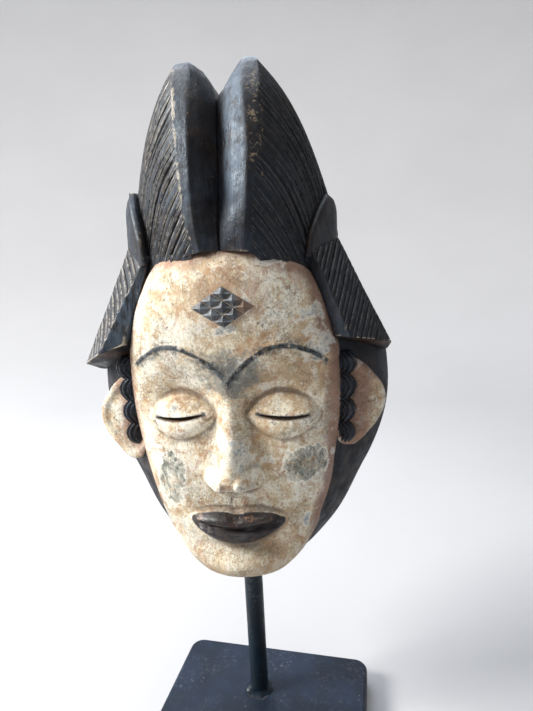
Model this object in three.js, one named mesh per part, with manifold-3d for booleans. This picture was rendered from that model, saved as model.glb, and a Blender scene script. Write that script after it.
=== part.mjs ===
// A carved wooden mask with a lobed, combed crest, held up by a round rod on a square base.
// Millimetres, +Z up, the mask looks along -Y. The origin is the middle of the base's underside.
import * as THREE from "three";
import { mergeVertices } from "three/addons/utils/BufferGeometryUtils.js";
import Module from "manifold-3d";

const wasm = await Module();
wasm.setup();

// Base
const baseSide = 134;
const baseThickness = 16;
const baseCornerRadius = 9;
const baseEdgeRadius = 2.5;
const baseUnderChamfer = 1;

// Rod
const rodDiameter = 12;
const rodSetback = 29; // from the middle of the base towards the back
const rodSideways = 5; // from the middle of the base towards -X
const rodDepthInBase = 10;
const rodTopChamfer = 1;
const footBeadWidth = 3.2; // how far the weld stands out from the rod
const footBeadHeight = 3;

// Mask
const maskHeight = 288; // from the chin to the top of the crest
const chinAboveBase = 106.5;
const maskTurn = 6; // degrees, about the rod
const wall = 11; // wood left between the hollow and the outside
const slitHeight = 2.2;
const grooveDepth = 1.7;
const scarHeight = 2.4;

// Fits
const clearance = 0.3; // between pieces that touch
const socketDepth = 22; // of the rod's top end in the mask

// The mask is a free form: its shape is given in shares of its own height. It is drawn 281 high, and its
// heights are stretched a little against its widths and depths.
const unit = maskHeight / 288;
const rise = maskHeight / 281;
const degrees = Math.PI / 180;

// A smooth curve through pairs of [where, value]: cubic pieces that never overshoot the pairs.
function curve(pairs) {
  const n = pairs.length;
  const slope = pairs.map((p, i) => {
    if (i === 0 || i === n - 1) return 0;
    const before = (p[1] - pairs[i - 1][1]) / (p[0] - pairs[i - 1][0]);
    const after = (pairs[i + 1][1] - p[1]) / (pairs[i + 1][0] - p[0]);
    return before * after <= 0 ? 0 : (2 * before * after) / (before + after);
  });
  const edge = (i, j) => (pairs[j][1] - pairs[i][1]) / (pairs[j][0] - pairs[i][0]);
  slope[0] = edge(0, 1);
  slope[n - 1] = edge(n - 2, n - 1);
  return (at) => {
    if (at <= pairs[0][0]) return pairs[0][1];
    if (at >= pairs[n - 1][0]) return pairs[n - 1][1];
    let i = 0;
    while (at > pairs[i + 1][0]) i += 1;
    const h = pairs[i + 1][0] - pairs[i][0];
    const t = (at - pairs[i][0]) / h;
    const a = (1 + 2 * t) * (1 - t) * (1 - t);
    const b = t * (1 - t) * (1 - t);
    const c = t * t * (3 - 2 * t);
    const d = t * t * (t - 1);
    return a * pairs[i][1] + b * h * slope[i] + c * pairs[i + 1][1] + d * h * slope[i + 1];
  };
}

const mix = (a, b, t) => a + (b - a) * t;
const bump = (x, z, x0, z0, rx, rz) => Math.exp(-(((x - x0) / rx) ** 2) - ((z - z0) / rz) ** 2);
const dome = (r2, power) => (r2 < 1 ? Math.pow(1 - r2, power) : 0);
const step = (a, b, v) => {
  const t = Math.min(1, Math.max(0, (v - a) / (b - a)));
  return t * t * (3 - 2 * t);
};

// A closed solid from rings of equal length, with a fan of triangles over each end.
function loft(rings) {
  const positions = [];
  const index = [];
  const count = rings[0].length;
  for (const ring of rings) for (const p of ring) positions.push(p[0], p[1], p[2]);
  const apart = (a, b) => Math.hypot(...[0, 1, 2].map((k) => positions[3 * a + k] - positions[3 * b + k]));
  for (let j = 0; j + 1 < rings.length; j += 1)
    for (let i = 0; i < count; i += 1) {
      const a = j * count + i;
      const b = j * count + ((i + 1) % count);
      if (apart(a, b + count) <= apart(b, a + count))
        index.push(a, b, b + count, a, b + count, a + count);
      else index.push(a, b, a + count, b, b + count, a + count);
    }
  for (const end of [0, rings.length - 1]) {
    const middle = [0, 1, 2].map((k) => rings[end].reduce((sum, p) => sum + p[k], 0) / count);
    const tip = positions.length / 3;
    positions.push(...middle);
    for (let i = 0; i < count; i += 1) {
      const a = end * count + i;
      const b = end * count + ((i + 1) % count);
      if (end === 0) index.push(b, a, tip);
      else index.push(a, b, tip);
    }
  }
  return solid(positions, index);
}

// A manifold solid from a closed triangle mesh, turned to face outwards.
function solid(positions, index) {
  const make = (triangles) => new wasm.Manifold(new wasm.Mesh({
    numProp: 3,
    vertProperties: new Float32Array(positions),
    triVerts: new Uint32Array(triangles),
  }));
  const first = make(index);
  if (first.volume() > 0) return first;
  const turned = [];
  for (let i = 0; i < index.length; i += 3) turned.push(index[i], index[i + 2], index[i + 1]);
  return make(turned);
}

// A three.js geometry as a manifold solid.
function fromGeometry(geometry) {
  const plain = geometry.clone();
  plain.deleteAttribute("normal");
  plain.deleteAttribute("uv");
  const merged = mergeVertices(plain, 1e-4);
  return solid(merged.getAttribute("position").array, Array.from(merged.index.array));
}

// A named mesh from a manifold solid.
function meshOf(name, body, colour, roughness, metalness) {
  const data = body.getMesh();
  const points = new Float32Array(data.numVert * 3);
  for (let i = 0; i < data.numVert; i += 1)
    points.set(data.vertProperties.subarray(i * data.numProp, i * data.numProp + 3), i * 3);
  const geometry = new THREE.BufferGeometry();
  geometry.setAttribute("position", new THREE.BufferAttribute(points, 3));
  geometry.setIndex(new THREE.BufferAttribute(data.triVerts, 1));
  geometry.computeVertexNormals();
  const mesh = new THREE.Mesh(
    geometry,
    new THREE.MeshStandardMaterial({ color: colour, roughness, metalness }),
  );
  mesh.name = name;
  return mesh;
}

const carved = ([x, y, z]) => [x * unit, y * unit, z * rise];
const sized = (rings) => rings.map((ring) => ring.map(carved));
const mirrored = (rings) => rings.map((ring) => ring.map((p) => [-p[0], p[1], p[2]]));

// The face, from the chin (height 0) to under the hair

const faceTop = 200;
const faceHalfWidth = curve([
  [0, 13], [3, 21], [8, 28], [18, 37], [34, 45.5], [58, 53], [84, 58], [110, 60.5],
  [132, 59.5], [152, 55.5], [170, 47.5], [184, 37], [194, 25], [200, 14],
]);
const faceFront = curve([
  [0, -28], [3, -34], [8, -39], [15, -41], [28, -39], [44, -39.5], [62, -41], [84, -41],
  [104, -40], [120, -42], [138, -46], [156, -48.5], [172, -48], [182, -45.5], [187, -40],
  [192, -31], [200, -18],
]);
const faceSide = -20;
const browLine = (x) => 119 + 19 * Math.sin(Math.min(1, Math.abs(x) / 52) * Math.PI * 0.86) ** 0.9;
const mouthLine = 40;
const slitLine = (x) => 101 - 0.08 * (Math.abs(x) - 28) - 1.6 * (1 - ((Math.abs(x) - 28) / 13.5) ** 2);

// How far the carving of the face stands out from its plain egg-like form.
function faceRelief(x, z) {
  const a = Math.abs(x);
  const brow = browLine(x);
  let out = -4.5 * bump(a, z, 27, 109, 18, 14) * step(-4, 3, brow - z);
  out += lids(a, z);
  out += 2.6 * bump(a, z, 35, 70, 17, 20);
  out += noseRise(z) * Math.exp(-Math.pow(a / noseHalf(z), 2.6));
  out += 5.4 * dome(((a - 9.6) / 6.8) ** 2 + ((z - 67.2) / 6.2) ** 2, 0.6);
  out -= 1.3 * bump(x, z, 0, 56, 3, 5);
  out += lips(x, z);
  out += 3.5 * bump(x, z, 0, 13, 17, 9) - 1.4 * bump(x, z, 0, 26, 17, 3.5);
  out += 1.3 * Math.exp(-(((z - brow) / 2) ** 2)) * step(56, 48, a);
  return out;
}
const noseRise = curve([
  [60, 0], [61.5, 1], [64, 13.5], [68, 15.5], [74, 14], [88, 9.5], [102, 6], [114, 3.2], [124, 0],
]);
const noseHalf = curve([[60, 11], [70, 9.4], [84, 7.6], [104, 6.2], [124, 8]]);

// The closed lids: an almond dome with a crease above it.
function lids(a, z) {
  const u = Math.min(1, Math.max(-1, (a - 28) / 19.5));
  const flat = Math.max(1e-6, 1 - u * u);
  const half = 11.5 * flat ** 0.8;
  const v = (z - 100 + 0.06 * (a - 28)) / half;
  const crease = Math.exp(-((((v - 1) * half - 2.4) / 1.7) ** 2)) * flat;
  return 6.2 * flat ** 0.5 * dome(v * v, 0.55) - crease;
}

// The lips swell from the seam between them and fall steeply at their edges.
function lips(x, z) {
  const seam = mouthLine - 1.2 * Math.cos(Math.min(1, Math.abs(x) / 27) * Math.PI);
  const bow = 1 - 0.16 * Math.exp(-((x / 4.5) ** 2));
  const high = 0.6 + 8.6 * Math.max(0, 1 - (x / 28) ** 2) ** 0.75 * bow;
  const low = 0.6 + 10.2 * Math.max(0, 1 - (x / 27) ** 2) ** 0.7;
  const q = Math.min(1, z >= seam ? (z - seam) / high : (seam - z) / low);
  const swell = (z >= seam ? 3 : 3.6) * Math.sin(Math.PI * q ** 0.8);
  const groove = 1.8 * Math.exp(-(((z - seam) / 1.1) ** 2));
  return Math.max(0, 1 - (x / 28) ** 2) ** 0.55 * ((6.4 + swell) * (1 - q ** 5) ** 0.6 - groove);
}

// Heights of the face's rows: closer together where the mouth, the nose's base and the eyes are.
const faceRows = [
  0, 3, 10, 18, 25, 28.3, 31.5, 35, 37.6, 39.2, 41, 43.6, 46.2, 48.2, 52, 57, 60.4, 62.4, 65, 68.5,
  73, 80, 87, 91.5, 94.5, 98, 101, 104, 107.5, 111, 116, 122, 129, 135, 140, 149, 160, 171, 180, 186,
  191, 196, faceTop,
];

// One row of the face: across the front from -X to +X, then round the back.
function faceRow(z, inset, back, columns) {
  const half = faceHalfWidth(z) - inset;
  const front = faceFront(z) + inset;
  const side = faceSide + inset * 0.4;
  const row = [];
  for (let i = 0; i <= columns; i += 1) {
    const s = (2 * i) / columns - 1;
    const turn = (Math.PI / 2) * (0.62 * s + 0.38 * s ** 3);
    const x = half * Math.sin(turn);
    const rise = Math.pow(Math.cos(turn), 0.9);
    const relief = inset ? 0 : faceRelief(x, z) * Math.min(1, rise * 1.8);
    row.push([x, mix(side, front, rise) - relief, z]);
  }
  row.push([half - 1, back, z], [-half + 1, back, z]);
  return row;
}

function face() {
  return loft(sized(faceRows.map((z) => faceRow(z, 0, 2, 28))));
}

function faceHollow() {
  const inset = wall / unit;
  const rows = [];
  for (let i = 0; i <= 10; i += 1) {
    const z = mix(inset + 3, 186, i / 10);
    rows.push(faceRow(z, inset, 3, 13));
  }
  return loft(sized(rows));
}

// The dark bowl behind the face, open at the back

const bowlMiddle = 100;
const bowlFront = -26;
const bowlWidest = 8;
const bowlRim = 22;
const rimReach = curve([
  [-90, 113], [-72, 103], [-55, 93.5], [-29, 84], [5, 88.5], [20, 91.5], [37, 96], [54, 102],
  [72, 116], [90, 120],
]);
const frontReach = curve([
  [-90, 94], [-75, 91], [-57, 79], [-34, 63], [0, 57], [26, 62], [50, 78], [73, 104], [90, 110],
]);

function bowlReach(angle, y) {
  const t = Math.min(1, Math.max(0, (y - bowlFront) / (bowlWidest - bowlFront)));
  const spread = Math.sin((t * Math.PI) / 2);
  const tuck = 1 - 0.03 * Math.max(0, (y - bowlWidest) / (bowlRim - bowlWidest)) ** 2;
  return mix(frontReach(angle), rimReach(angle), spread) * tuck;
}

function bowlRing(y, reach, count) {
  const ring = [];
  for (let i = 0; i < count; i += 1) {
    const turn = (360 * i) / count - 90;
    const angle = turn > 90 ? 180 - turn : turn;
    const r = reach(angle);
    ring.push([r * Math.cos(turn * degrees), y, bowlMiddle + r * Math.sin(turn * degrees)]);
  }
  return ring;
}

function bowl() {
  const rings = [];
  for (let i = 0; i <= 7; i += 1) {
    const y = mix(bowlFront, bowlRim, i / 7);
    rings.push(bowlRing(y, (angle) => bowlReach(angle, y), 40));
  }
  return loft(sized(rings));
}

function bowlHollow() {
  const inset = wall / unit;
  const rings = [];
  for (let i = 0; i <= 6; i += 1) {
    const y = mix(bowlFront + 9, bowlRim + 1, i / 6);
    rings.push(bowlRing(y, (angle) => bowlReach(angle, y - 5) - inset, 32));
  }
  return loft(sized(rings));
}

// The crest lobes

const lobeFoot = 185;
const lobeTop = 281;
const lobeGrooves = 14;
const lobeFront = curve([
  [185, -47.5], [200, -49], [215, -48.5], [235, -45], [255, -39], [268, -32], [276, -25], [281, -13],
]);
const lobeSide = curve([
  [185, 54.1], [200, 57.6], [215, 59.6], [232, 61.1], [250, 61.3], [265, 60.5], [275, 59.1], [281, 56.1],
]);
const lobeBack = curve([[185, 16], [222, 16], [250, 13], [270, 7], [281, 0]]);
// Each lobe's ridge, its side in the cleft and the middle of its plain front strip. The left one's
// strip is narrower, and its curves are given on the right too.
const lobeRight = {
  narrower: 0,
  ridge: curve([[185, 16], [200, 18], [215, 19.6], [232, 22], [250, 22.4], [268, 22.8], [274.5, 21.6],
    [278.5, 19], [280.2, 17], [281, 15.6]]),
  inner: curve([[185, -1], [256, -1], [261, 0], [264, 2.2], [272, 6.2], [276.5, 8.6], [279.3, 11.2],
    [281, 13.6]]),
  strip: curve([[185, 11], [215, 14], [245, 14.5], [270, 15], [281, 14.6]]),
};
const lobeLeft = {
  narrower: 2.2,
  ridge: curve([[185, 11.5], [200, 14.6], [215, 16.2], [232, 17.4], [250, 18.9], [265, 20], [275, 20.8],
    [281, 20.6]]),
  inner: curve([[185, -1], [256, -1], [262, 0.6], [269, 3.8], [275, 7.8], [279, 10.8], [281, 13.2]]),
  strip: curve([[185, 9], [200, 10.2], [215, 10.6], [250, 11.2], [270, 11.8], [281, 15.6]]),
};
const hairline = (x) => lobeFoot - 11.5 * Math.min(1.6, (Math.abs(x) / 42) ** 2);

// The outer faces are combed: each lock leaves the ridge, bends down and runs on to the hairline.
const lockSpan = 35; // about as far as from the ridge out to the side
const lockFloor = 172; // out of sight, inside the head
const lockFall = (t) => 1.1 * lockSpan * t + 39.5 * t ** 3;

function lobe(cut) {
  const rings = [];
  const rows = lobeGrooves * 2;
  for (let k = 0; k <= rows; k += 1) {
    const level = mix(lobeFoot, lobeTop, (k / rows) ** 0.96);
    const sunk = k % 2 && k < rows ? grooveDepth / unit : 0;
    const lower = (z, x) => z + (hairline(x) - lobeFoot) * (1 - step(lobeFoot, lobeFoot + 40, z));
    const front = lobeFront(level);
    const ridge = cut.ridge(level);
    const inner = cut.inner(level);
    const strip = cut.strip(level);
    const ring = [];
    const put = (x, y, z) => ring.push([x, y, z]);
    put(inner, lobeBack(level), level);
    put(inner, mix(lobeBack(level), front + 14, 0.6), level);
    const cleft = mix(5, 14, step(lobeFoot, lobeFoot + 30, level));
    put(inner, front + cleft, lower(level, 0));
    put(mix(inner, strip, 0.6), front + cleft * 0.26, lower(level, 6));
    put(strip, front, lower(level, strip));
    put(ridge, front + 1.5, lower(level, ridge));
    const floor = lockFloor + 0.12 * k;
    const low = (t) => Math.max(floor, level - lockFall(t));
    for (let i = 1; i <= 8; i += 1) {
      const t = i / 8;
      const away = (sunk * (i === 8 ? 0.5 : 1)) / Math.hypot(1, 0.8);
      const x = mix(ridge, lobeSide(level) - cut.narrower, (t * mix(1, 1.06, t)) / 1.06);
      put(x - away, mix(front + 1.5, -5, mix(t, t * t, 0.6)) + 0.8 * away, low(t));
    }
    const side = lobeSide(level) - cut.narrower - 2.1;
    put(side - 1.5 - sunk * 0.5, mix(-5, lobeBack(low(1)), 0.5), low(1));
    put(side - 6, lobeBack(low(1)), low(1));
    put(side * 0.5, lobeBack(level) + 1, mix(low(1), level, 0.7));
    rings.push(ring);
  }
  return rings;
}

// The side tresses: slabs with a plain front band and a grooved outer face

const tressGrooves = 11;
// Corners of the top and the foot: inner, ridge, outer, back outer, back inner. The left one is
// carved narrower on its grooved face, and its corners are given on the right too.
const tressRight = {
  top: [[41, -26, 184], [46, -31, 183.5], [60.4, -13, 189.5], [57, 2, 190], [42, 2, 186]],
  foot: [[57, -31, 140], [65, -35, 139.5], [88, -13, 133.5], [86, -2, 127], [59, -2, 131]],
};
const tressLeft = {
  top: [[41, -28, 184], [43.5, -28, 186], [58, -14, 191.5], [56, 2, 191], [42, 2, 186]],
  foot: [[57, -33, 139], [73, -35, 134], [89.5, -18, 126], [87, -2, 119.5], [59, -2, 121.5]],
};

function tress(side) {
  const rings = [];
  const rows = tressGrooves * 2;
  const at = (corner, share) => [0, 1, 2].map((c) => mix(side.top[corner][c], side.foot[corner][c], share));
  for (let k = 0; k <= rows; k += 1) {
    const sunk = k % 2 && k < rows ? grooveDepth / unit : 0;
    const s = k / rows;
    const onRidge = s ** 0.8;
    const onSide = s ** 1.45;
    const ring = [at(0, s), at(1, onRidge)];
    for (let i = 1; i <= 3; i += 1) {
      const t = i / 4;
      const p = at(1, mix(onRidge, onSide, t));
      const q = at(2, mix(onRidge, onSide, t));
      ring.push([0, 1, 2].map((c) => mix(p[c], q[c], t) + [-0.6, 0.8, 0][c] * sunk));
    }
    const outer = at(2, onSide);
    ring.push([outer[0] - sunk * 0.6, outer[1], outer[2]]);
    ring.push(at(3, mix(s, onSide, 0.5)), at(4, s));
    rings.push(ring);
  }
  return rings;
}

// The leaf shapes at the shoulders

const leafRight = 212; // height of the tip
const leafLeft = 219;

function leaf(top) {
  const rings = [];
  const outer = curve([[0, 57], [0.25, 59.8], [0.7, 59.8], [0.9, 58.4], [1, 55.5]]);
  const inner = curve([[0, 43], [0.33, 44.5], [0.7, 48.5], [1, 53]]);
  const front = curve([[0, -31], [0.33, -29.5], [0.7, -22.5], [1, -13]]);
  for (let k = 0; k <= 7; k += 1) {
    const s = k / 7;
    const z = mix(180, top, s);
    rings.push([[inner(s), front(s), z], [mix(inner(s), outer(s), 0.5), mix(front(s), -14, 0.42), z],
      [outer(s), mix(-14, -9, s), z], [outer(s), 1, z], [inner(s), 3, z]]);
  }
  return rings;
}

// The ears: half-moon plates, dished a little inside the rim

const earRight = 103; // height of the middle
const earLeft = 95;
const earRoot = 14; // how far it runs on into the head

function ear(height) {
  const across = 66;
  const reach = curve([[-90, 25.5], [-60, 19.6], [-28, 18], [6, 18.3], [45, 17.9], [70, 20.5], [90, 24]]);
  const layer = (scale, y) => {
    const ring = [];
    for (let i = 0; i < 16; i += 1) {
      const turn = (360 * i) / 16 - 90;
      const c = Math.cos(turn * degrees);
      const up = Math.sin(turn * degrees);
      const out = turn <= 90 ? reach(turn) * c : -earRoot * Math.abs(c) ** 0.6;
      const x = across + out * scale;
      const tall = reach(turn <= 90 ? turn : Math.sign(up) * 90);
      ring.push([x, y + 0.3 * (x - across), height + tall * up * scale]);
    }
    return ring;
  };
  return [layer(0.8, -6), layer(0.97, -14), layer(1, -19.5), layer(0.96, -22.8), layer(0.86, -23.2),
    layer(0.66, -21.8)];
}

// The scalloped bands in front of the ears

function temple() {
  const rings = [];
  const bumps = 4;
  for (let k = 0; k <= bumps * 4; k += 1) {
    const s = k / (bumps * 4);
    const z = mix(79, 131, s);
    const swell = Math.abs(Math.sin(s * Math.PI * bumps));
    const x = mix(60.5, 62.5, s);
    const outer = x + 1.6 + 4.6 * swell;
    rings.push([[x - 4.5, -16, z], [x - 4, -25, z], [mix(x, outer, 0.3), -26.6 - 0.8 * swell, z],
      [outer - 0.8, -25.6 - 0.6 * swell, z], [outer, -16, z]]);
  }
  return rings;
}

// The diamond of small pyramids on the forehead

const diamondCells = 3;
const diamondHalfWidth = 16.5;
const diamondHalfHeight = 10.2;
const diamondMiddle = [1, 158];

function scars() {
  const out = [];
  const place = (p, q) => {
    const x = diamondMiddle[0] + ((p - q) / 2) * diamondHalfWidth;
    const z = diamondMiddle[1] + ((p + q) / 2) * diamondHalfHeight;
    return [x, z];
  };
  const skin = (x, z) => {
    const turn = Math.asin(Math.min(1, Math.abs(x) / faceHalfWidth(z)));
    return mix(faceSide, faceFront(z), Math.pow(Math.cos(turn), 0.9));
  };
  const high = scarHeight / unit;
  for (let i = 0; i < diamondCells; i += 1)
    for (let j = 0; j < diamondCells; j += 1) {
      const edge = (n) => (2 * n) / diamondCells - 1;
      const gap = 0.03;
      const cell = [[gap, gap], [1 - gap, gap], [1 - gap, 1 - gap], [gap, 1 - gap]];
      const corners = cell.map(([a, b]) => place(edge(i + a), edge(j + b)));
      const middle = place(edge(i + 0.5), edge(j + 0.5));
      const base = corners.map(([x, z]) => [x, skin(x, z) - 0.35, z]);
      const inner = corners.map(([x, z]) => [x, skin(x, z) + 4, z]);
      const tip = [middle[0], skin(...middle) - high, middle[1]];
      const points = [...base, ...inner, tip].map(carved).flat();
      const index = [];
      for (let n = 0; n < 4; n += 1) {
        const m = (n + 1) % 4;
        index.push(n, m, 8, n + 4, m + 4, m, n + 4, m, n);
      }
      index.push(4, 6, 5, 4, 7, 6);
      out.push(solid(points, index));
    }
  return out;
}

// A lens-shaped cut right through one eyelid, from the front into the hollow.
function slit() {
  const outline = [];
  const n = 12;
  for (let i = 0; i <= n; i += 1) {
    const x = mix(14.5, 41.5, i / n);
    outline.push([x, slitLine(x) + (slitHeight / rise / 2) * Math.sin((Math.PI * i) / n) ** 0.6]);
  }
  for (let i = n - 1; i > 0; i -= 1) {
    const x = mix(14.5, 41.5, i / n);
    outline.push([x, slitLine(x) - (slitHeight / rise / 2) * Math.sin((Math.PI * i) / n) ** 0.6]);
  }
  return [-90, -18].map((y) => outline.map(([x, z]) => [x, y, z]));
}

// An upright round cut around the rod's axis.
function roundCut(radius, low, high) {
  const sides = 24;
  return loft([low, high].map((z) => {
    const ring = [];
    for (let i = 0; i < sides; i += 1) {
      const a = (2 * Math.PI * i) / sides;
      ring.push([radius * Math.cos(a), radius * Math.sin(a), z]);
    }
    return ring;
  }));
}

const rodRadius = rodDiameter / 2;
const fitRadius = (rodRadius + clearance) / Math.cos(Math.PI / 24);
const ceiling = (bowlMiddle + bowlReach(90, -5)) * rise - wall;
const socketTop = ceiling + socketDepth;

function mask() {
  const pair = (right, left) => [loft(sized(right)), loft(sized(mirrored(left)))];
  const both = (rings) => pair(rings, rings);
  let body = face();
  const added = [bowl(), ...pair(lobe(lobeRight), lobe(lobeLeft)),
    ...pair(tress(tressRight), tress(tressLeft)), ...pair(leaf(leafRight), leaf(leafLeft)),
    ...pair(ear(earRight), ear(earLeft)), ...both(temple()), ...scars()];
  for (const piece of added) body = body.add(piece);
  body = body.subtract(faceHollow().add(bowlHollow()));
  for (const cut of both(slit())) body = body.subtract(cut);
  const notchHigh = 12 * rise;
  const notchLow = -30 * rise;
  body = body.subtract(roundCut(fitRadius, notchLow, notchHigh));
  const notch = new THREE.BoxGeometry(2 * fitRadius, 60 * unit, notchHigh - notchLow);
  notch.translate(0, 30 * unit, (notchHigh + notchLow) / 2);
  body = body.subtract(fromGeometry(notch));
  body = body.subtract(roundCut(fitRadius, ceiling - 20 * rise, socketTop));
  return body;
}

function rod() {
  const foot = baseThickness - rodDepthInBase + clearance;
  const top = baseThickness + chinAboveBase + socketTop - clearance;
  const bead = baseThickness + clearance;
  const profile = [
    [0, foot],
    [rodRadius, foot],
    [rodRadius, bead],
    [rodRadius + footBeadWidth, bead],
    [rodRadius + footBeadWidth * 0.75, bead + footBeadHeight * 0.3],
    [rodRadius + footBeadWidth * 0.25, bead + footBeadHeight * 0.6],
    [rodRadius, bead + footBeadHeight],
    [rodRadius, top - rodTopChamfer],
    [rodRadius - rodTopChamfer, top],
    [0, top],
  ].map(([r, z]) => new THREE.Vector2(r, z));
  const geometry = new THREE.LatheGeometry(profile, 20);
  geometry.rotateX(Math.PI / 2);
  geometry.translate(-rodSideways, rodSetback, 0);
  return fromGeometry(geometry);
}

function base() {
  const outline = (inset, z) => {
    const ring = [];
    const straight = baseSide / 2 - baseCornerRadius;
    const radius = baseCornerRadius - inset;
    for (let corner = 0; corner < 4; corner += 1)
      for (let i = 0; i <= 5; i += 1) {
        const a = (corner + i / 5) * (Math.PI / 2);
        const cx = straight * (corner === 0 || corner === 3 ? 1 : -1);
        const cy = straight * (corner < 2 ? 1 : -1);
        ring.push([cx + radius * Math.cos(a), cy + radius * Math.sin(a), z]);
      }
    return ring;
  };
  const rings = [outline(baseUnderChamfer, 0), outline(0, baseUnderChamfer)];
  for (let i = 0; i <= 3; i += 1) {
    const a = (i / 3) * (Math.PI / 2);
    rings.push(outline(
      baseEdgeRadius * (1 - Math.cos(a)),
      baseThickness - baseEdgeRadius * (1 - Math.sin(a)),
    ));
  }
  const hole = roundCut(fitRadius, baseThickness - rodDepthInBase, baseThickness + 5);
  return loft(rings).subtract(hole.translate([-rodSideways, rodSetback, 0]));
}

const root = new THREE.Group();
const maskMesh = meshOf("mask", mask(), 0xc9b796, 0.75, 0);
maskMesh.position.set(-rodSideways, rodSetback, baseThickness + chinAboveBase);
maskMesh.rotation.z = maskTurn * degrees;
root.add(maskMesh);
root.add(meshOf("rod", rod(), 0x1b1d22, 0.4, 0.9));
root.add(meshOf("base", base(), 0x20242e, 0.5, 0.1));

export default root;
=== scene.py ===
"""A carved and painted wooden mask on its rod and base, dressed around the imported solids."""
import logging
import math
from dataclasses import dataclass, field
from enum import IntEnum
from typing import Callable, Sequence

import bpy
import numpy as np
from mathutils import Matrix, Vector
from mathutils.kdtree import KDTree


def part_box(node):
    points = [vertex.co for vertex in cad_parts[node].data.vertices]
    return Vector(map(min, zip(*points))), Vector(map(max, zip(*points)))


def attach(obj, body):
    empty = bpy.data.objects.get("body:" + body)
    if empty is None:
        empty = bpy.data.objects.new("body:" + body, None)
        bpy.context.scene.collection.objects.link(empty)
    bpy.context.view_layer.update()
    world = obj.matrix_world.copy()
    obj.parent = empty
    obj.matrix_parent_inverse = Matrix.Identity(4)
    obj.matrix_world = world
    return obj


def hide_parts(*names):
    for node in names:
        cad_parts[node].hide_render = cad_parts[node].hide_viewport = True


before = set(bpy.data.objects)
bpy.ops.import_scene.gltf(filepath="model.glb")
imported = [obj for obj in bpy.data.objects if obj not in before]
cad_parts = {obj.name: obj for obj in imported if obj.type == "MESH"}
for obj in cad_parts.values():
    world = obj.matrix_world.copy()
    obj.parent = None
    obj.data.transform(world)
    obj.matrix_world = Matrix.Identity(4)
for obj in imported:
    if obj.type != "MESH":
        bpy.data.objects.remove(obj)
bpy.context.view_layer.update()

logging.basicConfig(level=logging.INFO, format="%(name)s: %(message)s")
log = logging.getLogger("mask")

Array = np.ndarray
Colour = tuple[float, float, float]
Curve = Callable[[Array], Array]
Socket = bpy.types.NodeSocket

MM = 0.001

# What fits together, in millimetres: the rod's axis and radius, the play round it, and the base's top.
ROD_AT = (-5.0, 29.0)
ROD_RADIUS = 6.0
CLEARANCE = 0.3
BASE_TOP = 16.0


def curve(pairs: Sequence[tuple[float, float]]) -> Curve:
    """Make a smooth curve through pairs of (where, value).

    Each stretch is a cubic whose end slopes are the harmonic mean of the slopes beside it, so it never
    overshoots.

    Args:
        pairs: places in rising order, each with its value.

    Returns:
        A function of an array of places that gives the values there.
    """
    xs, ys = (np.array(column, float) for column in zip(*pairs))
    step = np.diff(ys) / np.diff(xs)
    product = step[:-1] * step[1:]
    total = np.where(product > 0, step[:-1] + step[1:], 1.0)
    inner = np.where(product > 0, 2 * product / total, 0.0)
    slope = np.concatenate([[step[0]], inner, [step[-1]]])

    def at(where: Array) -> Array:
        """Give the curve's value at each place."""
        w = np.clip(where, xs[0], xs[-1])
        i = np.clip(np.searchsorted(xs, w, side="right") - 1, 0, len(xs) - 2)
        h = xs[i + 1] - xs[i]
        t = (w - xs[i]) / h
        a, b = (1 + 2 * t) * (1 - t) ** 2, t * (1 - t) ** 2
        c, d = t * t * (3 - 2 * t), t * t * (t - 1)
        return a * ys[i] + b * h * slope[i] + c * ys[i + 1] + d * h * slope[i + 1]

    return at


def mix(a: Array, b: Array, t: Array) -> Array:
    """Go from a to b by the share t."""
    return a + (b - a) * t


def step(low: float, high: float, value: Array) -> Array:
    """Rise smoothly from 0 at low to 1 at high: 3t^2 - 2t^3."""
    t = np.clip((value - low) / (high - low), 0, 1)
    return t * t * (3 - 2 * t)


def bump(x: Array, z: Array, centre: tuple[float, float], reach: tuple[float, float]) -> Array:
    """Give a soft hill: exp(-(dx/rx)^2 - (dz/rz)^2)."""
    return np.exp(-(((x - centre[0]) / reach[0]) ** 2) - ((z - centre[1]) / reach[1]) ** 2)


def dome(square: Array, power: float) -> Array:
    """Give (1 - square)^power inside the unit circle and 0 outside."""
    return np.clip(1 - square, 0, None) ** power


def lattice_noise(points: Array, size: float, seed: int) -> Array:
    """Give smooth noise from -1 to 1, with hills about size apart.

    A hashed value stands on each corner of a cubic lattice, and a point mixes its eight corners by
    3t^2 - 2t^3.

    Args:
        points: places, three columns.
        size: lattice step in the unit of the points.
        seed: number that picks the pattern.

    Returns:
        One value for each point.
    """
    scaled = points / size
    low = np.floor(scaled).astype(np.int64)
    t = scaled - low
    t = t * t * (3 - 2 * t)
    total = np.zeros(len(points))
    for corner in range(8):
        bit = np.array([corner & 1, corner >> 1 & 1, corner >> 2 & 1])
        at = low + bit
        key = at[:, 0] * 73856093 ^ at[:, 1] * 19349663 ^ at[:, 2] * 83492791 ^ seed * 2654435761
        key = (key ^ key >> 13) * 1274126177 & 0xFFFFFFFF
        value = ((key ^ key >> 16) & 0xFFFF) / 32767.5 - 1
        total += value * np.prod(np.where(bit, t, 1 - t), axis=1)
    return total


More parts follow.
